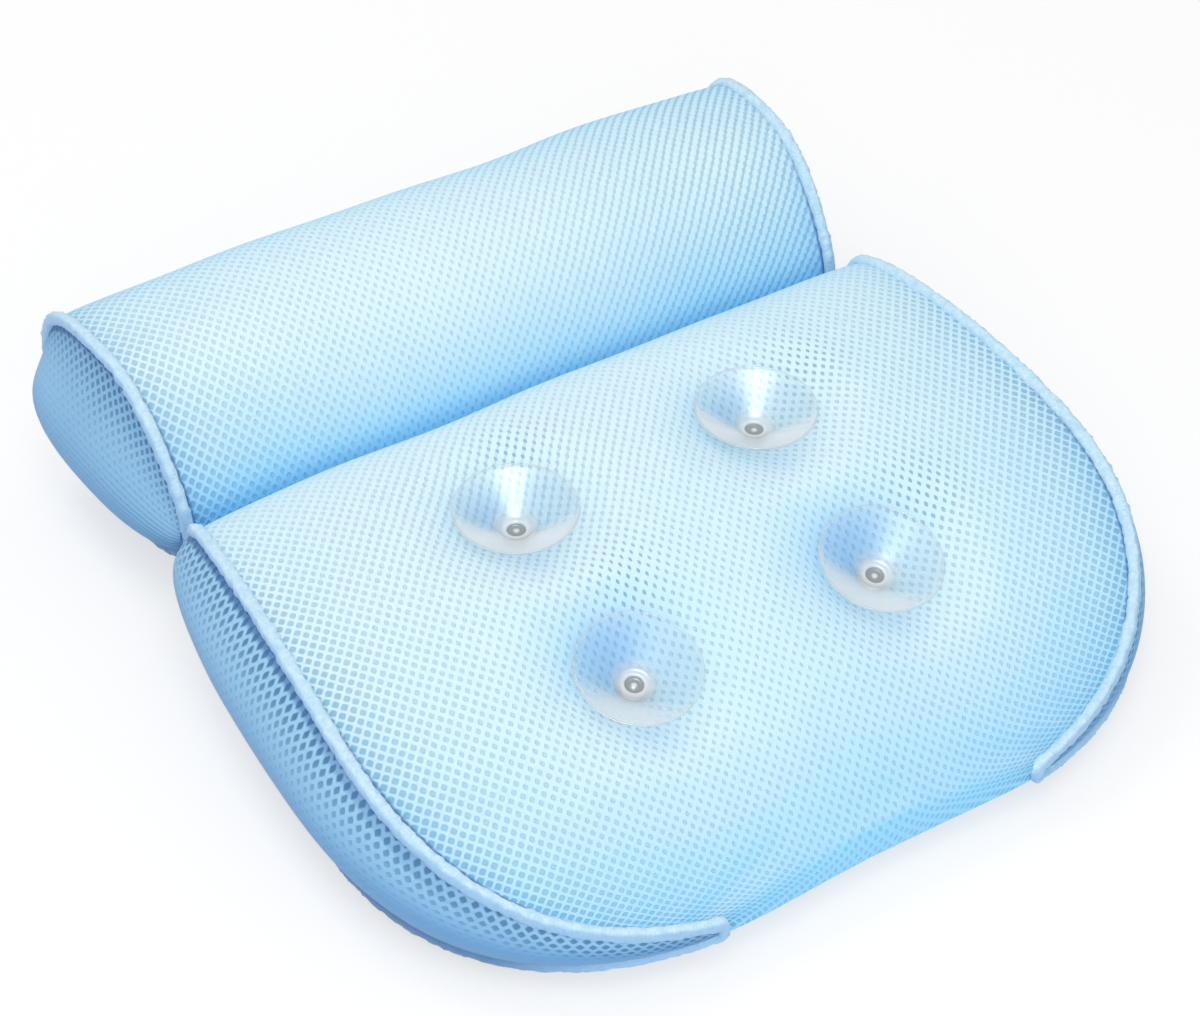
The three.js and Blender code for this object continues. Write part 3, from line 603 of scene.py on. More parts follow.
class SewnCushion:
    """A closed mesh of a sleeve and two side panels that share the seam's points."""

    def __init__(self, cushion):
        self.cushion = cushion
        self.loop = seam_loop(cushion, CLOTH_STEP)
        width = 2 * cushion.half_width(np.array([cushion.length / 2]))[0]
        self.columns = 2 * round(width / CLOTH_STEP / 2)
        self.coords = []
        self.cover = self._cover_faces()
        self.sides = {side: self._side_faces(side) for side in SIDES}
        self.coords = np.array(self.coords)

    def _cover_faces(self):
        """Sleeve points row by row, and the fabric's own lengths across and around as UVs."""
        loop, cushion = self.loop, self.cushion
        total, wide = len(loop["runs"]), self.columns + 1
        shares = np.linspace(-1, 1, wide)
        crown_across = 1 - np.abs(shares) ** CROWN_BLUNTNESS
        sheet_across = SHEET / 2 * (1 - np.abs(shares) ** SEAM_BLUNTNESS)
        flat = np.empty((total, wide, 3))
        for i, (run, point, upper) in enumerate(zip(loop["runs"], loop["points"], loop["upper"])):
            x = shares * point[0]
            rise = sheet_across + crown_across * (cushion.crown(run, upper) + uneven_filling(x, run))
            flat[i] = np.column_stack([x, np.full(wide, point[1]), np.full(wide, point[2])])
            flat[i] += rise[:, None] * loop["out"][i]
            dent = cushion.dimple(x, run) if upper else 0 * x
            self.coords.extend(flat[i] - dent[:, None] * loop["out"][i])
        closed = np.concatenate([flat, flat[:1]])
        across = running_length(closed, 1)
        across -= across[:, [self.columns // 2]]
        around = running_length(closed, 0)
        around -= around[loop["count"] // 2]
        self.edge = (across[:-1, [-1]] - np.abs(across[:-1])).ravel()
        grid = point_grid(total, wide, closes=(1, 0))
        return grid_faces(grid, np.dstack([across, around]), ACROSS_FIRST, flip=cushion.heading < 0)

    def seam_index(self, i, side):
        return (i % len(self.loop["runs"])) * (self.columns + 1) + (0 if side < 0 else self.columns)

    def _side_faces(self, side):
        """A ladder of points between the upper and the lower seam, coming together at both ends."""
        loop, count = self.loop, self.loop["count"]
        total = len(loop["runs"])
        runs = loop["runs"][: count + 1]
        normals = side_normals(self.cushion, runs)
        bulges = self.cushion.fullness[side] * side_bulge(self.cushion, runs)
        along = running_length(loop["points"][: count + 1], 0)
        middle = along[count // 2]
        tallest = 2 * self.cushion.heights(runs)[1].max()
        shares = [k / PANEL_STEPS for k in range(PANEL_STEPS + 1)]
        rungs, fabric = [], []
        for i in range(count + 1):
            upper, lower = loop["points"][i], loop["points"][(total - i) % total]
            rung = [self.seam_index(i, side)]
            for share in shares[1:-1]:
                if i in (0, count):
                    rung.append(rung[0])
                    continue
                swell = bulges[i] * math.sin(math.pi * share**self.cushion.belly_power)
                rung.append(len(self.coords))
                self.coords.append((upper + share * (lower - upper) + swell * normals[i]) * [side, 1, 1])
            rungs.append([*rung, self.seam_index(total - i, side)])
            gathered = math.sqrt(np.linalg.norm(upper - lower) * tallest)
            fabric.append([(along[i] - middle, (0.5 - share) * gathered) for share in shares])
        return grid_faces(rungs, fabric, ALONG_FIRST, flip=side * self.cushion.heading > 0)

    def pinned(self):
        """Seam points, and the points of the sleeve that the cups hold."""
        total = len(self.loop["runs"])
        held = {self.seam_index(i, side) for i in range(total) for side in SIDES}
        if isinstance(self.cushion, Pad):
            held |= set(np.flatnonzero(cup_distance(self.coords) < PIN_RADIUS))
        return sorted(int(v) for v in held)

    def open_for_cups(self, coords):
        """Turns the grid round each cup into a round hole for its neck, and drops the faces inside it."""
        wide = self.columns + 1
        dropped = set()
        for centre, axis in CUP_PLACES:
            nearest = int(np.argmin(np.linalg.norm(coords - centre, axis=1)))
            row, column = divmod(nearest, wide)
            ring = [(row + a) * wide + column + b for a, b in HOLE_RING]
            away = coords[ring] - centre
            height = (away @ axis).mean()
            first = unit(np.cross(axis, [1.0, 0, 0]))
            second = np.cross(axis, first)
            angles = np.unwrap(np.arctan2(away @ second, away @ first))
            step = math.copysign(2 * math.pi / len(ring), angles[-1] - angles[0])
            even = step * np.arange(len(ring))
            even += (angles - even).mean()
            for vert, angle in zip(ring, even):
                spoke = math.cos(angle) * first + math.sin(angle) * second
                coords[vert] = centre + (height - HOLE_SINK) * axis + (NECK_RADIUS + HOLE_GAP) * spoke
            dropped.add(nearest)
        faces, uvs = self.cover
        kept = [n for n, face in enumerate(faces) if dropped.isdisjoint(face)]
        self.cover = [faces[n] for n in kept], [uvs[n] for n in kept]


def simulated(sewn, name):
    """The cushion's points after its cloth has been blown up between its seams."""
    faces = sewn.cover[0] + sewn.sides[-1][0] + sewn.sides[1][0]
    bag = new_object(name, sewn.coords, faces)
    pins = bag.vertex_groups.new(name="held")
    pins.add(sewn.pinned(), 1.0, "REPLACE")
    cloth = bag.modifiers.new("Cloth", "CLOTH")
    for key, value in CLOTH.items():
        setattr(cloth.settings, key, value)
    cloth.settings.vertex_group_mass = pins.name
    cloth.settings.effector_weights.gravity = 0
    cloth.collision_settings.use_collision = False
    cloth.point_cache.frame_end = FRAMES
    scene = bpy.context.scene
    for number in range(1, FRAMES + 1):
        scene.frame_set(number)
    blown = points_of(bag.evaluated_get(bpy.context.evaluated_depsgraph_get()))
    scene.frame_set(1)
    bpy.data.objects.remove(bag)
    move = blown - sewn.coords
    far = np.linalg.norm(move, axis=1, keepdims=True)
    return sewn.coords + move * np.minimum(1, MOST_SWELL / np.maximum(far, MM))


# How the weave shows


def stretch_by_cups(points):
    """How far the cups pull the mesh open: most in one place beside each dimple."""
    pulled = np.zeros(len(points))
    for centre, _ in CUP_PLACES:
        spot = centre + (STRETCH_AWAY if centre[0] < 0 else STRETCH_ASIDE)
        distance = np.linalg.norm((points - spot)[:, :2], axis=1)
        pulled = np.maximum(pulled, near(distance, STRETCH_RADIUS))
    return pulled


def shade_of_cups(points):
    """The sides of the dimples that face away from the light, and the soft shadows that the cups cast."""
    shade = np.zeros(len(points))
    for centre, _ in CUP_PLACES:
        away = (points - centre)[:, :2]
        far = np.linalg.norm(away, axis=1)
        in_front = centre[1] < HINGE[1] - HINGE_START - np.mean(CUP_RUNS)
        turned_away = np.clip(away @ SHADED_SIDES[int(in_front)] / np.maximum(far, 1), 0, 1)
        ring = (far / SHADE_RADIUS) ** 2
        cast = CAST_DEPTH * near(np.linalg.norm(away - CAST_SHADOW, axis=1), CAST_RADIUS)
        shade = np.maximum(shade, np.maximum(turned_away * ring * np.exp(1 - ring), cast))
    return shade


def panel_weave(cushion, points):
    """A panel's holes, which open upwards, its pleats, which deepen downwards and to the hinge, and how
    strongly the folds along its seams are painted in shade.
    """
    run = runs_of(cushion, points)
    middle, half = cushion.heights(run)
    half = np.maximum(half, LEAST_HALF)
    height = np.clip((points[:, 2] - middle) / half, -1, 1)
    far = run / cushion.length
    openness = PANEL_OPEN_RISE * height - PANEL_SHUT - PANEL_FAR_SHUT * np.maximum(far - PANEL_FAR, 0)
    pleats = PANEL_PLEATS + PANEL_HINGE_PLEATS * np.exp(-run / PANEL_PLEAT_RUN)
    looks = {
        "edge": half * (1 - np.abs(height)),
        "opening": np.clip(openness, *PANEL_OPENING),
        "depth": np.clip(PANEL_HOLES[0] + PANEL_DARKER * openness, *PANEL_HOLES),
        "drawn": np.clip(PANEL_PLEATS_LOW - height, PANEL_LEAST_PLEATS, 1) * pleats,
        "tuck_shade": np.clip(PANEL_TUCK + height, PANEL_LEAST_TUCK, 1),
    }
    if isinstance(cushion, Pad):
        looks["tuck_shade"] *= ramped(far, *PAD_PANEL_TUCK)
        looks["swing"] = ramped(far, *PAD_PANEL_SWING)
    return looks


# Pieces of cloth


def finish_cloth(piece, material, body, nodes):
    """Rounds off a panel, gives it its thickness and makes it ride on its body."""
    smooth = piece.modifiers.new("Subdivision", "SUBSURF")
    smooth.render_levels = 1
    shell = piece.modifiers.new("Solidify", "SOLIDIFY")
    shell.thickness = SHELL * MM
    piece.data.materials.append(material)
    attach(piece, body)
    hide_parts(*nodes)


def tape(name, cushion, side, material, node):
    """The rolled edge tape along one side's seam, a little uneven, and tucked in on the underside."""
    loop = seam_loop(cushion, TAPE_STEP)
    count = len(loop["runs"])
    sideways = side_normals(cushion, loop["runs"])
    raised = unit(loop["out"] + sideways)
    across = np.cross(loop["along"], raised)
    length = running_length(np.concatenate([loop["points"], loop["points"][:1]]), 0)
    turns = 2 * math.pi * length[:-1] / length[-1]
    uneven = 1 + sum(size * np.sin(waves * turns + waves) for size, waves in TAPE_WAVES)
    under = np.clip(-loop["out"][:, 2], 0, 1)
    middle = loop["points"] + TAPE_RAISE * raised - TAPE_TUCK * under[:, None] * sideways
    nap = TAPE_NAP * np.random.default_rng(1).standard_normal((count, TAPE_SIDES))
    coords = []
    for i in range(count):
        for k in range(TAPE_SIDES):
            angle = 2 * math.pi * k / TAPE_SIDES
            spoke = math.cos(angle) * raised[i] + math.sin(angle) * across[i]
            coords.append(middle[i] + (uneven[i] * TAPE_RADIUS + nap[i, k]) * spoke)
    coords = np.array(coords) * [side, 1, 1]
    around = 2 * math.pi * TAPE_WRAP * np.arange(TAPE_SIDES + 1) / TAPE_SIDES
    fabric = [[(along, turn) for turn in around] for along in length]
    grid = point_grid(count, TAPE_SIDES, closes=(1, 1))
    faces, uvs = grid_faces(grid, fabric, ACROSS_FIRST, flip=side < 0)
    piece = new_object(name, cushion.settled(coords), faces, uvs)
    fading = np.clip((cushion.length - loop["runs"]) / TAPE_FADE, TAPE_LEAST_SHADE, 1)
    # under: how strongly the tape's underside is painted dark as shade, fading towards the cushion's far
    # end
    add_attributes(piece, {"under": np.repeat(under * fading, TAPE_SIDES)})
    piece.data.materials.append(material)
    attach(piece, cushion.body)
    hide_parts(node)


def sewn_pieces(cushion, main_cloth, side_cloth, tape_cloth):
    """A cushion's sleeve, its two panels and the edge tape along their seams."""
    body, panels = cushion.body, cushion.panels
    sewn = SewnCushion(cushion)
    coords = simulated(sewn, f"{body}_bag")
    coords[:, 2] = np.maximum(coords[:, 2], 0)
    coords = cushion.settled(coords)
    if isinstance(cushion, Pad):
        sewn.open_for_cups(coords)
    cover, used = submesh(f"{body}_mesh_cover", coords, sewn.cover)
    edge = sewn.edge[used]
    add_attributes(cover, {"edge": edge, **cushion.weave(points_of(cover), edge)})
    covered = [f"{body}_cover", f"{body}_filling"]
    finish_cloth(cover, main_cloth, body, covered)
    for side, word in SIDES.items():
        panel, _ = submesh(f"{body}_mesh_{panels}_{word}", coords, sewn.sides[side])
        add_attributes(panel, panel_weave(cushion, points_of(panel)))
        finish_cloth(panel, side_cloth, body, [f"{body}_{panels}_{word}"])
        tape(f"{body}_edge_tape_{word}", cushion, side, tape_cloth, f"{body}_binding_{word}")


def hinge_cloth(material):
    """The sewn web between pad and roll, with a rolled ridge on the hinge axis."""
    low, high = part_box("hinge_seam")
    reach = HINGE_START + SHEET / 2
    ys = np.linspace(-reach, reach, WEB_ROWS)
    ridge = WEB_HALF + (HINGE_SEAM_RADIUS - RIDGE_INSET - WEB_HALF) * near(ys, RIDGE_WIDTH)
    section = list(zip(ys, ridge)) + list(zip(ys[::-1], -ridge[::-1]))
    xs = np.linspace(low[0], high[0], WEB_COLUMNS) / MM
    wide = len(section)
    coords = [(x, HINGE[1] + y, HINGE[2] + z) for x in xs for y, z in section]
    fabric = [[(x, y) for y, _ in [*section, section[0]]] for x in xs]
    grid = point_grid(len(xs), wide, closes=(0, 1))
    faces, uvs = grid_faces(grid, fabric, ALONG_FIRST, flip=False)
    last = (len(xs) - 1) * wide
    for cap in (list(range(wide)), list(range(last, last + wide))[::-1]):
        faces.append(cap)
        uvs.append([coords[v][1:] for v in cap])
    piece = new_object("hinge_cloth", coords, faces, uvs)
    looks = {"edge": SEAM_PULL, "opening": WEB_OPENING, "depth": WEB_DEPTH}
    add_attributes(piece, {name: np.full(len(coords), value) for name, value in looks.items()})
    piece.data.materials.append(material)
    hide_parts("hinge_seam")
    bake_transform(piece)


# Suction cups


def arc(centre, radius, start, stop, steps):
    """Points of a round in a turned profile, in degrees from the direction away from the axis."""
    angles = np.radians(np.linspace(start, stop, steps))
    return [(centre[0] + radius * math.cos(a), centre[1] + radius * math.sin(a)) for a in angles]


def turned(name, profile, sides, centre, axis):
    """A turned body, whose profile starts and ends on the axis."""
    rings = profile[1:-1]
    angles = np.linspace(0, 2 * math.pi, sides, endpoint=False)
    coords = [(r * math.cos(a), r * math.sin(a), z) for r, z in rings for a in angles]
    coords += [(0, 0, profile[0][1]), (0, 0, profile[-1][1])]
    first, last = len(coords) - 2, len(coords) - 1
    top = (len(rings) - 1) * sides
    faces = []
    for low in range(0, top, sides):
        for k in range(sides):
            after = (k + 1) % sides
            faces.append([low + k, low + after, low + sides + after, low + sides + k])
    for k in range(sides):
        after = (k + 1) % sides
        faces.append([first, after, k])
        faces.append([top + k, top + after, last])
    upright = np.array(Vector((0, 0, 1)).rotation_difference(Vector(axis)).to_matrix())
    return new_object(name, np.array(coords) @ upright.T + centre, faces)


def cup_profile(rim, head_bottom):
    """The stretches of a cup's outline, by heights along its axis: from the head in the pad up the neck
    to the lip, and back down the inside to the dot in the hub's recess."""
    seat = rim - CUP_HEIGHT
    head_top = head_bottom + HEAD_HEIGHT
    hub_top = rim - HUB_DEPTH
    floor = hub_top - RECESS_DEPTH
    core_edge = CORE_RADIUS + CORE_ROUND
    edge = CUP_RADIUS - CUP_RIM / 2
    slope = (CUP_HEIGHT - CUP_RIM) / (CUP_RADIUS - NECK_RADIUS)

    def outer(r):
        share = (r - NECK_RADIUS) / (CUP_RADIUS - NECK_RADIUS)
        return seat + slope * (r - NECK_RADIUS) - CUP_SAG * math.sin(math.pi * share)

    def inner(r):
        share = (r - HUB_RADIUS) / (CUP_RADIUS - HUB_RADIUS)
        return outer(r) + CUP_WALL + (CUP_RIM - CUP_WALL) * share

    def hub(r):
        share = (HUB_RADIUS - r) / (HUB_RADIUS - core_edge)
        return inner(r) + (hub_top - inner(r)) * share**2 * (3 - 2 * share)

    head = (HEAD_RADIUS - HEAD_ROUND, head_bottom + HEAD_ROUND)
    head_edge = (HEAD_RADIUS - HEAD_EDGE, head_top - HEAD_EDGE)
    stem = [(0, head_bottom)]
    stem += arc(head, HEAD_ROUND, start=-90, stop=0, steps=7)
    stem += arc(head_edge, HEAD_EDGE, start=0, stop=90, steps=4)
    stem += [(NECK_RADIUS, head_top), (NECK_RADIUS, seat - NECK_DROP)]
    dome = [(r, hub(r)) for r in np.linspace(HUB_RADIUS, core_edge, 12)[1:]]
    dome += arc((core_edge, hub_top - CORE_ROUND), CORE_ROUND, start=90, stop=180, steps=6)[1:]
    return {
        "stem": stem,
        "outside": [(r, outer(r)) for r in np.linspace(NECK_RADIUS + NECK_FLARE, edge, 24)],
        "lip": arc((edge, rim - CUP_RIM / 2), CUP_RIM / 2, start=-60, stop=150, steps=10),
        "inside": [(r, inner(r)) for r in np.linspace(edge - LIP_WIDTH, HUB_RADIUS, 18)],
        "dome": dome,
        "recess": [(share * CORE_RADIUS, floor + height) for share, height in RECESS],
        "spot": [(share * CORE_RADIUS, floor + height) for share, height in SPOT],
    }


def whiteness(radius):
    share = (HALO_RADIUS - radius) / (HALO_RADIUS - WHITE_RADIUS)
    return MILKY * min(1, max(0, share)) ** HALO_POWER


def cup(k, vinyl):
    """A clear cup, and the neck and head that hold it in the pad, on the axis of its solid."""
    centre, axis = CUP_PLACES[k - 1]
    node = f"suction_cup_{k}"
    heights = (points_of(frame["nodes"][node]) - centre) @ axis
    stretches = cup_profile(heights.max(), heights.min())
    profile = [point for stretch in stretches.values() for point in stretch]
    piece = turned(f"clear_cup_{k}", profile, CUP_SIDES, centre, axis)
    # recess marks the points painted grey as shade
    looks = {"milky": [], "lip": [], "recess": []}
    for word, stretch in stretches.items():
        for radius, _ in stretch:
            looks["milky"].append(0.0 if word == "outside" else whiteness(radius))
            looks["lip"].append(float(word == "lip"))
            looks["recess"].append(float(word == "recess"))
    for name, values in looks.items():
        looks[name] = np.append(np.repeat(values[1:-1], CUP_SIDES), [values[0], values[-1]])
    add_attributes(piece, looks)
    piece.data.materials.append(vinyl)
    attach(piece, f"cup_{k}")
    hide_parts(node)


# Materials


class Nodes:
    """Short ways to add linked shader nodes to a new material or world."""

    def __init__(self, owner):
        owner.use_nodes = True
        self.owner = owner
        self.tree = owner.node_tree
        self.surface = self.tree.nodes.get("Principled BSDF")

    def feed(self, socket, value):
        if isinstance(value, bpy.types.NodeSocket):
            self.tree.links.new(value, socket)
        else:
            socket.default_value = value

    def put(self, kind, inputs=None, **settings):
        node = self.tree.nodes.new(kind)
        for key, value in settings.items():
            setattr(node, key, value)
        for key, value in (inputs or {}).items():
            self.feed(node.inputs[key], value)
        return node

    def math(self, operation, *values):
        return self.put("ShaderNodeMath", dict(enumerate(values)), operation=operation).outputs[0]

    def vector(self, operation, *values, output="Vector"):
        node = self.put("ShaderNodeVectorMath", dict(enumerate(values)), operation=operation)
        return node.outputs[output]

    def dot(self, first, second):
        return self.vector("DOT_PRODUCT", first, second, output="Value")

    def combined(self, *values):
        return self.put("ShaderNodeCombineXYZ", dict(enumerate(values))).outputs[0]

    def noise(self, place, scale, detail=2.0, output="Fac"):
        inputs = {"Vector": place, "Scale": scale, "Detail": detail}
        return self.put("ShaderNodeTexNoise", inputs).outputs[output]

    def ramp(self, value, low, high, at_low=0.0, at_high=1.0):
        inputs = dict(enumerate((value, low, high, at_low, at_high)))
        return self.put("ShaderNodeMapRange", inputs, interpolation_type="SMOOTHSTEP").outputs[0]

    def mix(self, share, first, second):
        node = self.put("ShaderNodeMix", {0: share}, data_type="RGBA")
        colours = [socket for socket in node.inputs if socket.type == "RGBA"]
        self.feed(colours[0], first)
        self.feed(colours[1], second)
        return next(socket for socket in node.outputs if socket.type == "RGBA")

    def mix_shaders(self, share, first, second):
        return self.put("ShaderNodeMixShader", {0: share, 1: first, 2: second}).outputs[0]

    def show(self, shader):
        self.feed(self.tree.nodes["Material Output"].inputs["Surface"], shader)

    def bump(self, height, distance, strength):
        node = self.put("ShaderNodeBump", {"Height": height, "Distance": distance, "Strength": strength})
        self.set(Normal=node.outputs[0])

    def set(self, **values):
        for key, value in values.items():
            self.feed(self.surface.inputs[key.replace("_", " ")], value)

    def uv(self):
        return self.put("ShaderNodeUVMap", uv_map="weave").outputs[0]

    def attribute(self, name):
        return self.put("ShaderNodeAttribute", attribute_name=name).outputs["Fac"]

    def own(self, output):
        """A coordinate of the piece itself, which turns with it."""
        return self.put("ShaderNodeTexCoord").outputs[output]

    def facing_light(self, low, high):
        """Rises from 0 to 1 as the cloth turns to the light, with a slow unevenness. The materials paint
        light and shade into their colour by it.
        """
        place = self.own("Object")
        towards = self.vector("NORMALIZE", self.vector("SUBTRACT", NEAR_LIGHT, place))
        slow = self.noise(place, LIGHT_SCALE)
        uneven = self.math("MULTIPLY_ADD", slow, LIGHT_UNEVEN, -LIGHT_UNEVEN / 2)
        return self.ramp(self.math("ADD", self.dot(self.own("Normal"), towards), uneven), low, high)


def new_material(name):
    return Nodes(bpy.data.materials.new(name))


def screen(red, green, blue):
    """A colour as a screen shows it, 0 to 255, in the linear values that shaders take."""
    return (*(((c / 255 + 0.055) / 1.055) ** 2.4 for c in (red, green, blue)), 1.0)


def mesh_holes(make, place, cells):
    """1 in the middle of each staggered hole, which is a rounded diamond, and 0 on the threads."""
    opening = make.attribute("opening")
    shut = make.math("SUBTRACT", opening, PATCHINESS / 2)
    patchy = make.math("MULTIPLY_ADD", make.noise(place, PATCH_SCALE), PATCHINESS, shut)
    width = make.math("MAXIMUM", make.math("MULTIPLY_ADD", patchy, SLIT[1], SLIT[0]), LEAST_SLIT)
    length = make.math("MULTIPLY_ADD", opening, SLIT_LENGTH[1], SLIT_LENGTH[0])
    swing = make.math("MULTIPLY", make.math("SUBTRACT", length, width), make.attribute("swing"))
    slit = make.combined(make.math("ADD", width, swing), make.math("SUBTRACT", length, swing), 1.0)
    distances = []
    for shift in (0.0, 0.5):
        inside = make.vector("FRACTION", make.vector("ADD", cells, (shift, shift, 0)))
        offset = make.vector("MULTIPLY", make.vector("SUBTRACT", inside, (0.5, 0.5, 0)), (*WEAVE, 0))
        in_hole = make.vector("DIVIDE", offset, slit)
        slanted = make.combined(*(make.dot(in_hole, (1, sign, 0)) for sign in (1, -1)))
        squares = make.vector("MULTIPLY", slanted, slanted)
        distances.append(make.vector("LENGTH", squares, output="Value"))
    return make.ramp(make.math("MINIMUM", *distances), *HOLE_EDGE, at_low=1.0, at_high=0.0)


def drawn_rows(make, cells, lines):
    """Dark lines along the given slant, and along the opposite one where the attribute is negative."""
    drawn = make.attribute("drawn")
    rows = []
    for sign in (1, -1):
        from_line = make.math("PINGPONG", make.dot(cells, (lines[0], sign * lines[1], 0)), 0.5)
        line = make.ramp(from_line, *ROW_EDGE, at_low=ROW_DARK, at_high=0.0)
        strength = make.math("MAXIMUM", make.math("MULTIPLY", drawn, sign), 0.0)
        rows.append(make.math("MULTIPLY", line, strength))
    return rows


def spacer_mesh(name, pale, deep, hole, fold, fold_shade_share, turn, lines, crease):
    """Knitted mesh: threads with staggered holes over a darker layer, drawn into rows along the given
    slant. Light and shade are painted into the threads' colour: paler towards a near light and bluer away
    from it, a deeper blue painted shade in the folds along the seams and round the cups, and a dark
    painted shadow line beside the edge tape."""
    make = new_material(name)
    place = make.own("Object")
    wander = make.noise(place, DRIFT_SCALE, output="Color")
    drift = make.vector("MULTIPLY", make.vector("SUBTRACT", wander, (0.5, 0.5, 0.5)), (DRIFT, DRIFT, 0))
    uv = make.vector("ADD", make.uv(), drift)
    cells = make.vector("DIVIDE", uv, (*WEAVE, 1))
    pit = mesh_holes(make, place, cells)
    dark = make.math("MULTIPLY", pit, make.attribute("depth"))
    for row in drawn_rows(make, cells, lines):
        dark = make.math("MAXIMUM", dark, row)
    edge = make.attribute("edge")
    tuck_shade = make.attribute("tuck_shade")
    # Painted shade: deeper blue in the folds along the seams, on the dimples' shaded sides and in the
    # cups' shadows
    tucked = make.math("MULTIPLY", make.math("EXPONENT", make.math("DIVIDE", edge, -FOLD_REACH)), tuck_shade)
    fold_shade = make.math("MULTIPLY", tucked, fold_shade_share)
    shaded = make.math("MAXIMUM", fold_shade, make.math("MULTIPLY", make.attribute("shade"), SHADE_SHARE))
    # pale is the thread's colour painted lit where it faces the near light, deep its painted shade where
    # it turns away
    thread = make.mix(shaded, make.mix(make.facing_light(*turn), deep, pale), fold)
    # A dark line of painted shadow beside the edge tape, where the tape stands proud of the cloth
    seam = make.math("MULTIPLY", make.ramp(edge, *crease, at_low=SEAM_SHARE, at_high=0.0), tuck_shade)
    creased = make.mix(seam, make.mix(dark, thread, hole), screen(50, 102, 160))
    knit = make.noise(make.vector("MULTIPLY", uv, (1.4, 0.5, 0)), scale=2.2, detail=3.0)
    height = make.math("MULTIPLY_ADD", pit, -1.0, make.math("MULTIPLY", knit, 0.3))
    make.bump(height, distance=0.7 * MM, strength=0.6)
    make.set(Base_Color=creased, Roughness=0.8, Sheen_Weight=0.15, Specular_IOR_Level=0.2)
    return make.owner


def napped_tape(name, pale, deep, side, shade):
    """Brushed tape: short fibres in three sizes, drawn out across the tape, with painted shade: bluer
    where it turns from the near light, and darker underneath.
    """
    make = new_material(name)
    place = make.own("Object")
    across = make.noise(make.vector("MULTIPLY", make.uv(), (1.3, 0.35, 0)), scale=1.0, detail=3.0)
    tufts = make.noise(place, scale=330.0, detail=3.0)
    fibres = make.noise(place, scale=1100.0, detail=3.0)
    height = make.math("MULTIPLY_ADD", fibres, 0.5, make.math("MULTIPLY_ADD", tufts, 0.6, across))
    make.bump(height, distance=0.7 * MM, strength=0.7)
    tone = make.math("MULTIPLY_ADD", across, 0.5, make.math("MULTIPLY", tufts, 0.5))
    napped = make.mix(make.ramp(tone, low=0.3, high=0.7), deep, pale)
    # The side colour is painted shade where the tape turns from the light, and the shade colour is
    # painted shade underneath
    lit = make.facing_light(low=-0.1, high=0.8)
    turned_away = make.ramp(lit, low=0.0, high=1.0, at_low=0.8, at_high=0.0)
    beneath = make.ramp(make.attribute("under"), low=0.1, high=0.7, at_low=0.0, at_high=0.9)
    make.set(Base_Color=make.mix(beneath, make.mix(turned_away, napped, side), shade))
    make.set(Roughness=0.95, Sheen_Weight=0.3, Specular_IOR_Level=0.1)
    return make.owner


def clear_vinyl(name):
    """A glossy clear film, whitish in a cup's middle, whitish along its walls where they are seen
    edge-on, partly haze and partly a painted reflection, and grey in the recess as painted shade.
    """
    make = new_material(name)
    milky, lip, recess = (make.attribute(word) for word in ("milky", "lip", "recess"))
    along_wall = make.put("ShaderNodeLayerWeight").outputs["Facing"]
    # Where a wall is seen edge-on it turns whitish: partly the film's haze, partly a painted reflection
    # of the white studio
    cloudy = make.ramp(along_wall, low=0.36, high=0.66, at_low=0.02, at_high=0.66)
    cloudy = make.math("MAXIMUM", cloudy, make.math("MAXIMUM", milky, make.math("MULTIPLY", lip, 0.25)))
    flow = make.noise(make.own("Object"), scale=160.0)
    white = make.mix(flow, screen(226, 232, 235), screen(238, 242, 244))
    colour = make.mix(make.math("MULTIPLY", lip, 0.8), white, screen(196, 212, 214))
    # The recess is painted grey as shade; the dot in its middle keeps the white, a painted highlight.
    make.set(Base_Color=make.mix(recess, colour, screen(150, 160, 163)), Roughness=0.3)
    make.set(Coat_Weight=0.3, Coat_Roughness=0.15)
    make.bump(flow, distance=0.2 * MM, strength=0.2)
    through = make.put("ShaderNodeBsdfTransparent", {"Color": (0.95, 0.975, 0.99, 1.0)})
    gloss = make.put("ShaderNodeBsdfGlossy", {"Roughness": 0.38})
    mirrored = make.math("MULTIPLY_ADD", make.math("POWER", along_wall, 4.0), 0.3, 0.04)
    film = make.mix_shaders(mirrored, through.outputs[0], gloss.outputs[0])
    make.show(make.mix_shaders(cloudy, film, make.surface.outputs[0]))
    return make.owner


def moulded_white(name):
    """Plain washer plastic with a fine grain."""
    make = new_material(name)
    grain = make.noise(make.own("Object"), scale=700.0)
    make.set(Base_Color=make.mix(grain, screen(226, 229, 230), screen(238, 240, 240)), Roughness=0.5)
    make.bump(grain, distance=0.1 * MM, strength=0.3)
    return make.owner


# Floor, light and camera


def studio_floor():
    """A pale floor that takes the object's shadow, looks white to the camera and is open from below."""
    square = ((-1, -1), (1, -1), (1, 1), (-1, 1))
    corners = [(x * FLOOR_HALF, y * FLOOR_HALF, FLOOR_HEIGHT) for x, y in square]
    floor = new_object("studio_floor", corners, [[0, 1, 2, 3]])
    make = new_material("studio_floor")
    make.set(Base_Color=screen(252, 252, 252), Roughness=0.9)
    seen = make.math("MULTIPLY", make.put("ShaderNodeLightPath").outputs["Is Camera Ray"], FLOOR_GLOW)
    white = make.put("ShaderNodeEmission")
    above = make.mix_shaders(seen, make.surface.outputs[0], white.outputs[0])
    from_below = make.put("ShaderNodeNewGeometry").outputs["Backfacing"]
    gone = make.put("ShaderNodeBsdfTransparent")
    make.show(make.mix_shaders(from_below, above, gone.outputs[0]))
    floor.data.materials.append(make.owner)


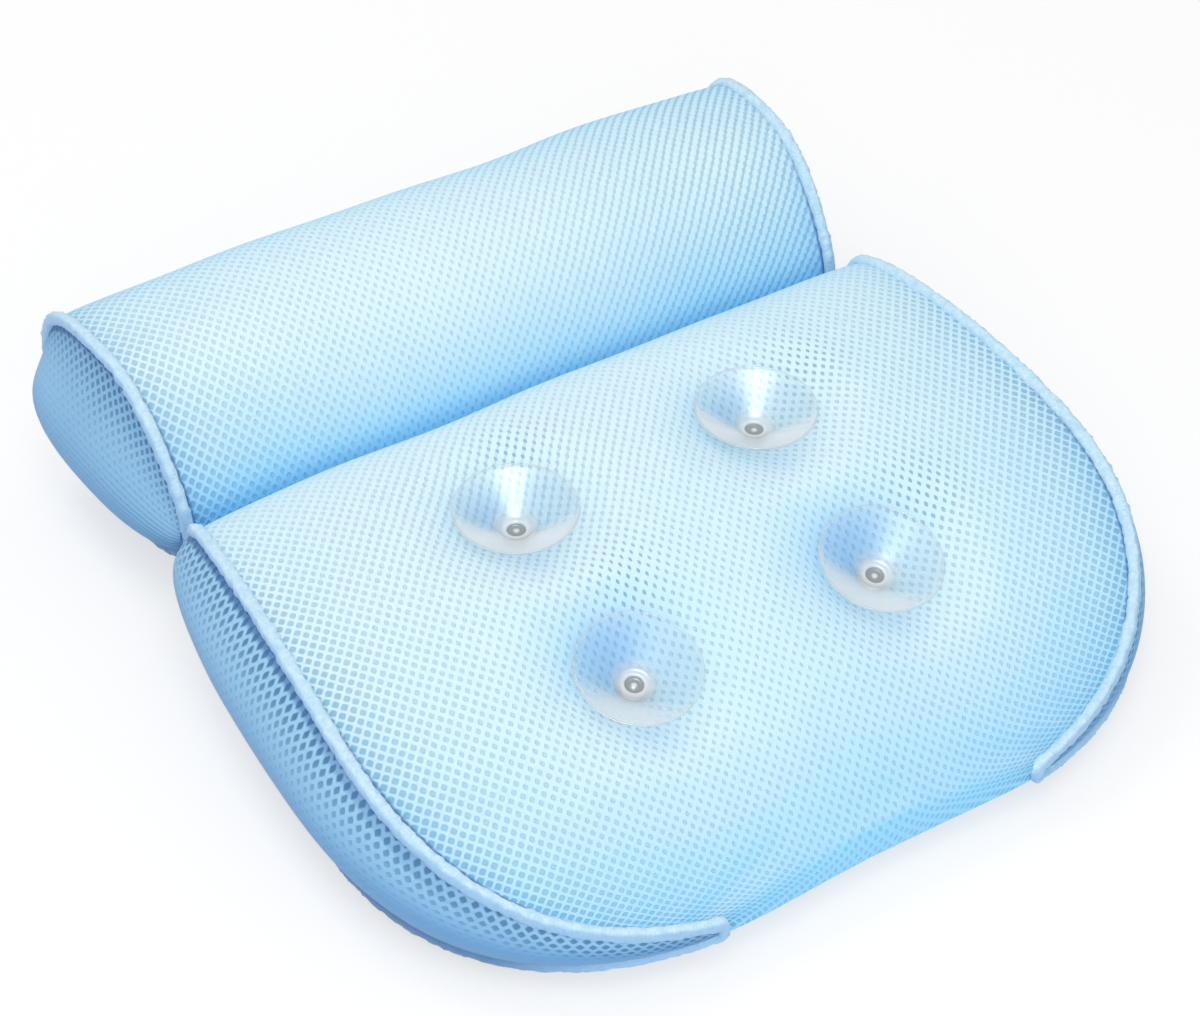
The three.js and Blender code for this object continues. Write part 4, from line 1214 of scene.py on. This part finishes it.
def studio_world():
    """White all round: full where the camera, a reflection or a clear cup sees it, softer as light."""
    world = bpy.data.worlds.new("studio")
    bpy.context.scene.world = world
    make = Nodes(world)
    path = make.put("ShaderNodeLightPath")
    seen = path.outputs["Is Camera Ray"]
    for ray in ("Is Glossy Ray", "Is Transmission Ray"):
        seen = make.math("MAXIMUM", seen, path.outputs[ray])
    level = make.put("ShaderNodeMapRange", {"Value": seen, "To Min": AMBIENT})
    sky = make.tree.nodes["Background"]
    make.feed(sky.inputs["Color"], (1, 1, 1, 1))
    make.feed(sky.inputs["Strength"], level.outputs[0])


def put_up(name, data, place, facing):
    """A lamp or a camera in its place, facing the given way."""
    holder = bpy.data.objects.new(name, data)
    holder.location = place
    holder.rotation_mode = "QUATERNION"
    holder.rotation_quaternion = facing.to_track_quat("-Z", "Y")
    bpy.context.scene.collection.objects.link(holder)
    return holder


def area_light(name, place, size, power, gleam=False):
    """A round soft lamp that faces the origin. A gleam shows only in reflections, the others never do."""
    lamp = bpy.data.lights.new(name, "AREA")
    lamp.shape = "DISK"
    lamp.size = size
    lamp.energy = power
    holder = put_up(name, lamp, place, facing=-Vector(place))
    holder.visible_glossy = gleam
    holder.visible_diffuse = not gleam


def photo_camera():
    camera = bpy.data.cameras.new("camera")
    camera.lens = CAMERA_LENS
    level = math.cos(CAMERA_ELEVATION)
    aside = math.sin(CAMERA_AZIMUTH) * level
    behind = -math.cos(CAMERA_AZIMUTH) * level
    back = Vector((aside, behind, math.sin(CAMERA_ELEVATION)))
    place = CAMERA_TARGET + CAMERA_DISTANCE * back
    bpy.context.scene.camera = put_up("camera", camera, place, facing=-back)


# The whole pillow

# pale and deep: the thread's colour painted lit and painted in shade by how it faces the near light
main_cloth = spacer_mesh(
    "spacer_mesh",
    pale=screen(217, 240, 249),
    deep=screen(150, 220, 255),
    hole=screen(70, 150, 190),
    # fold: the painted shade colour of the folds, the dimples and the cups' shadows
    fold=screen(140, 194, 246),
    fold_shade_share=0.7,
    turn=(0.1, 1.1),
    lines=(1, -1),
    crease=(2.8, 4.4),
)
# The panels' cloth is a darker copy of the sleeve's: painted shade for the sides, which face away from
# the lamps
side_cloth = spacer_mesh(
    "spacer_mesh_side_shaded",
    pale=screen(160, 208, 240),
    deep=screen(102, 158, 208),
    hole=screen(36, 98, 144),
    fold=screen(96, 146, 196),
    fold_shade_share=0.2,
    turn=(-0.6, 0.8),
    lines=(0, 2),
    crease=(2.6, 4.0),
)
tape_cloth = napped_tape(
    "edge_tape",
    pale=screen(212, 238, 250),
    deep=screen(182, 220, 244),
    # side and shade are painted shade colours: of the side turned from the light, and of the underside
    side=screen(142, 188, 230),
    shade=screen(96, 134, 180),
)
vinyl = clear_vinyl("clear_vinyl")
washer_plastic = moulded_white("washer_plastic")

for cushion in (Pad(), Roll()):
    sewn_pieces(cushion, main_cloth, side_cloth, tape_cloth)
hinge_cloth(main_cloth)
for k in CUPS:
    cup(k, vinyl)
    washer = frame["nodes"][f"cup_washer_{k}"]
    washer.data.materials.clear()
    washer.data.materials.append(washer_plastic)

studio_floor()
studio_world()
for name, lamp in LAMPS.items():
    area_light(name, **lamp)
photo_camera()
bpy.context.scene.view_settings.view_transform = "Standard"
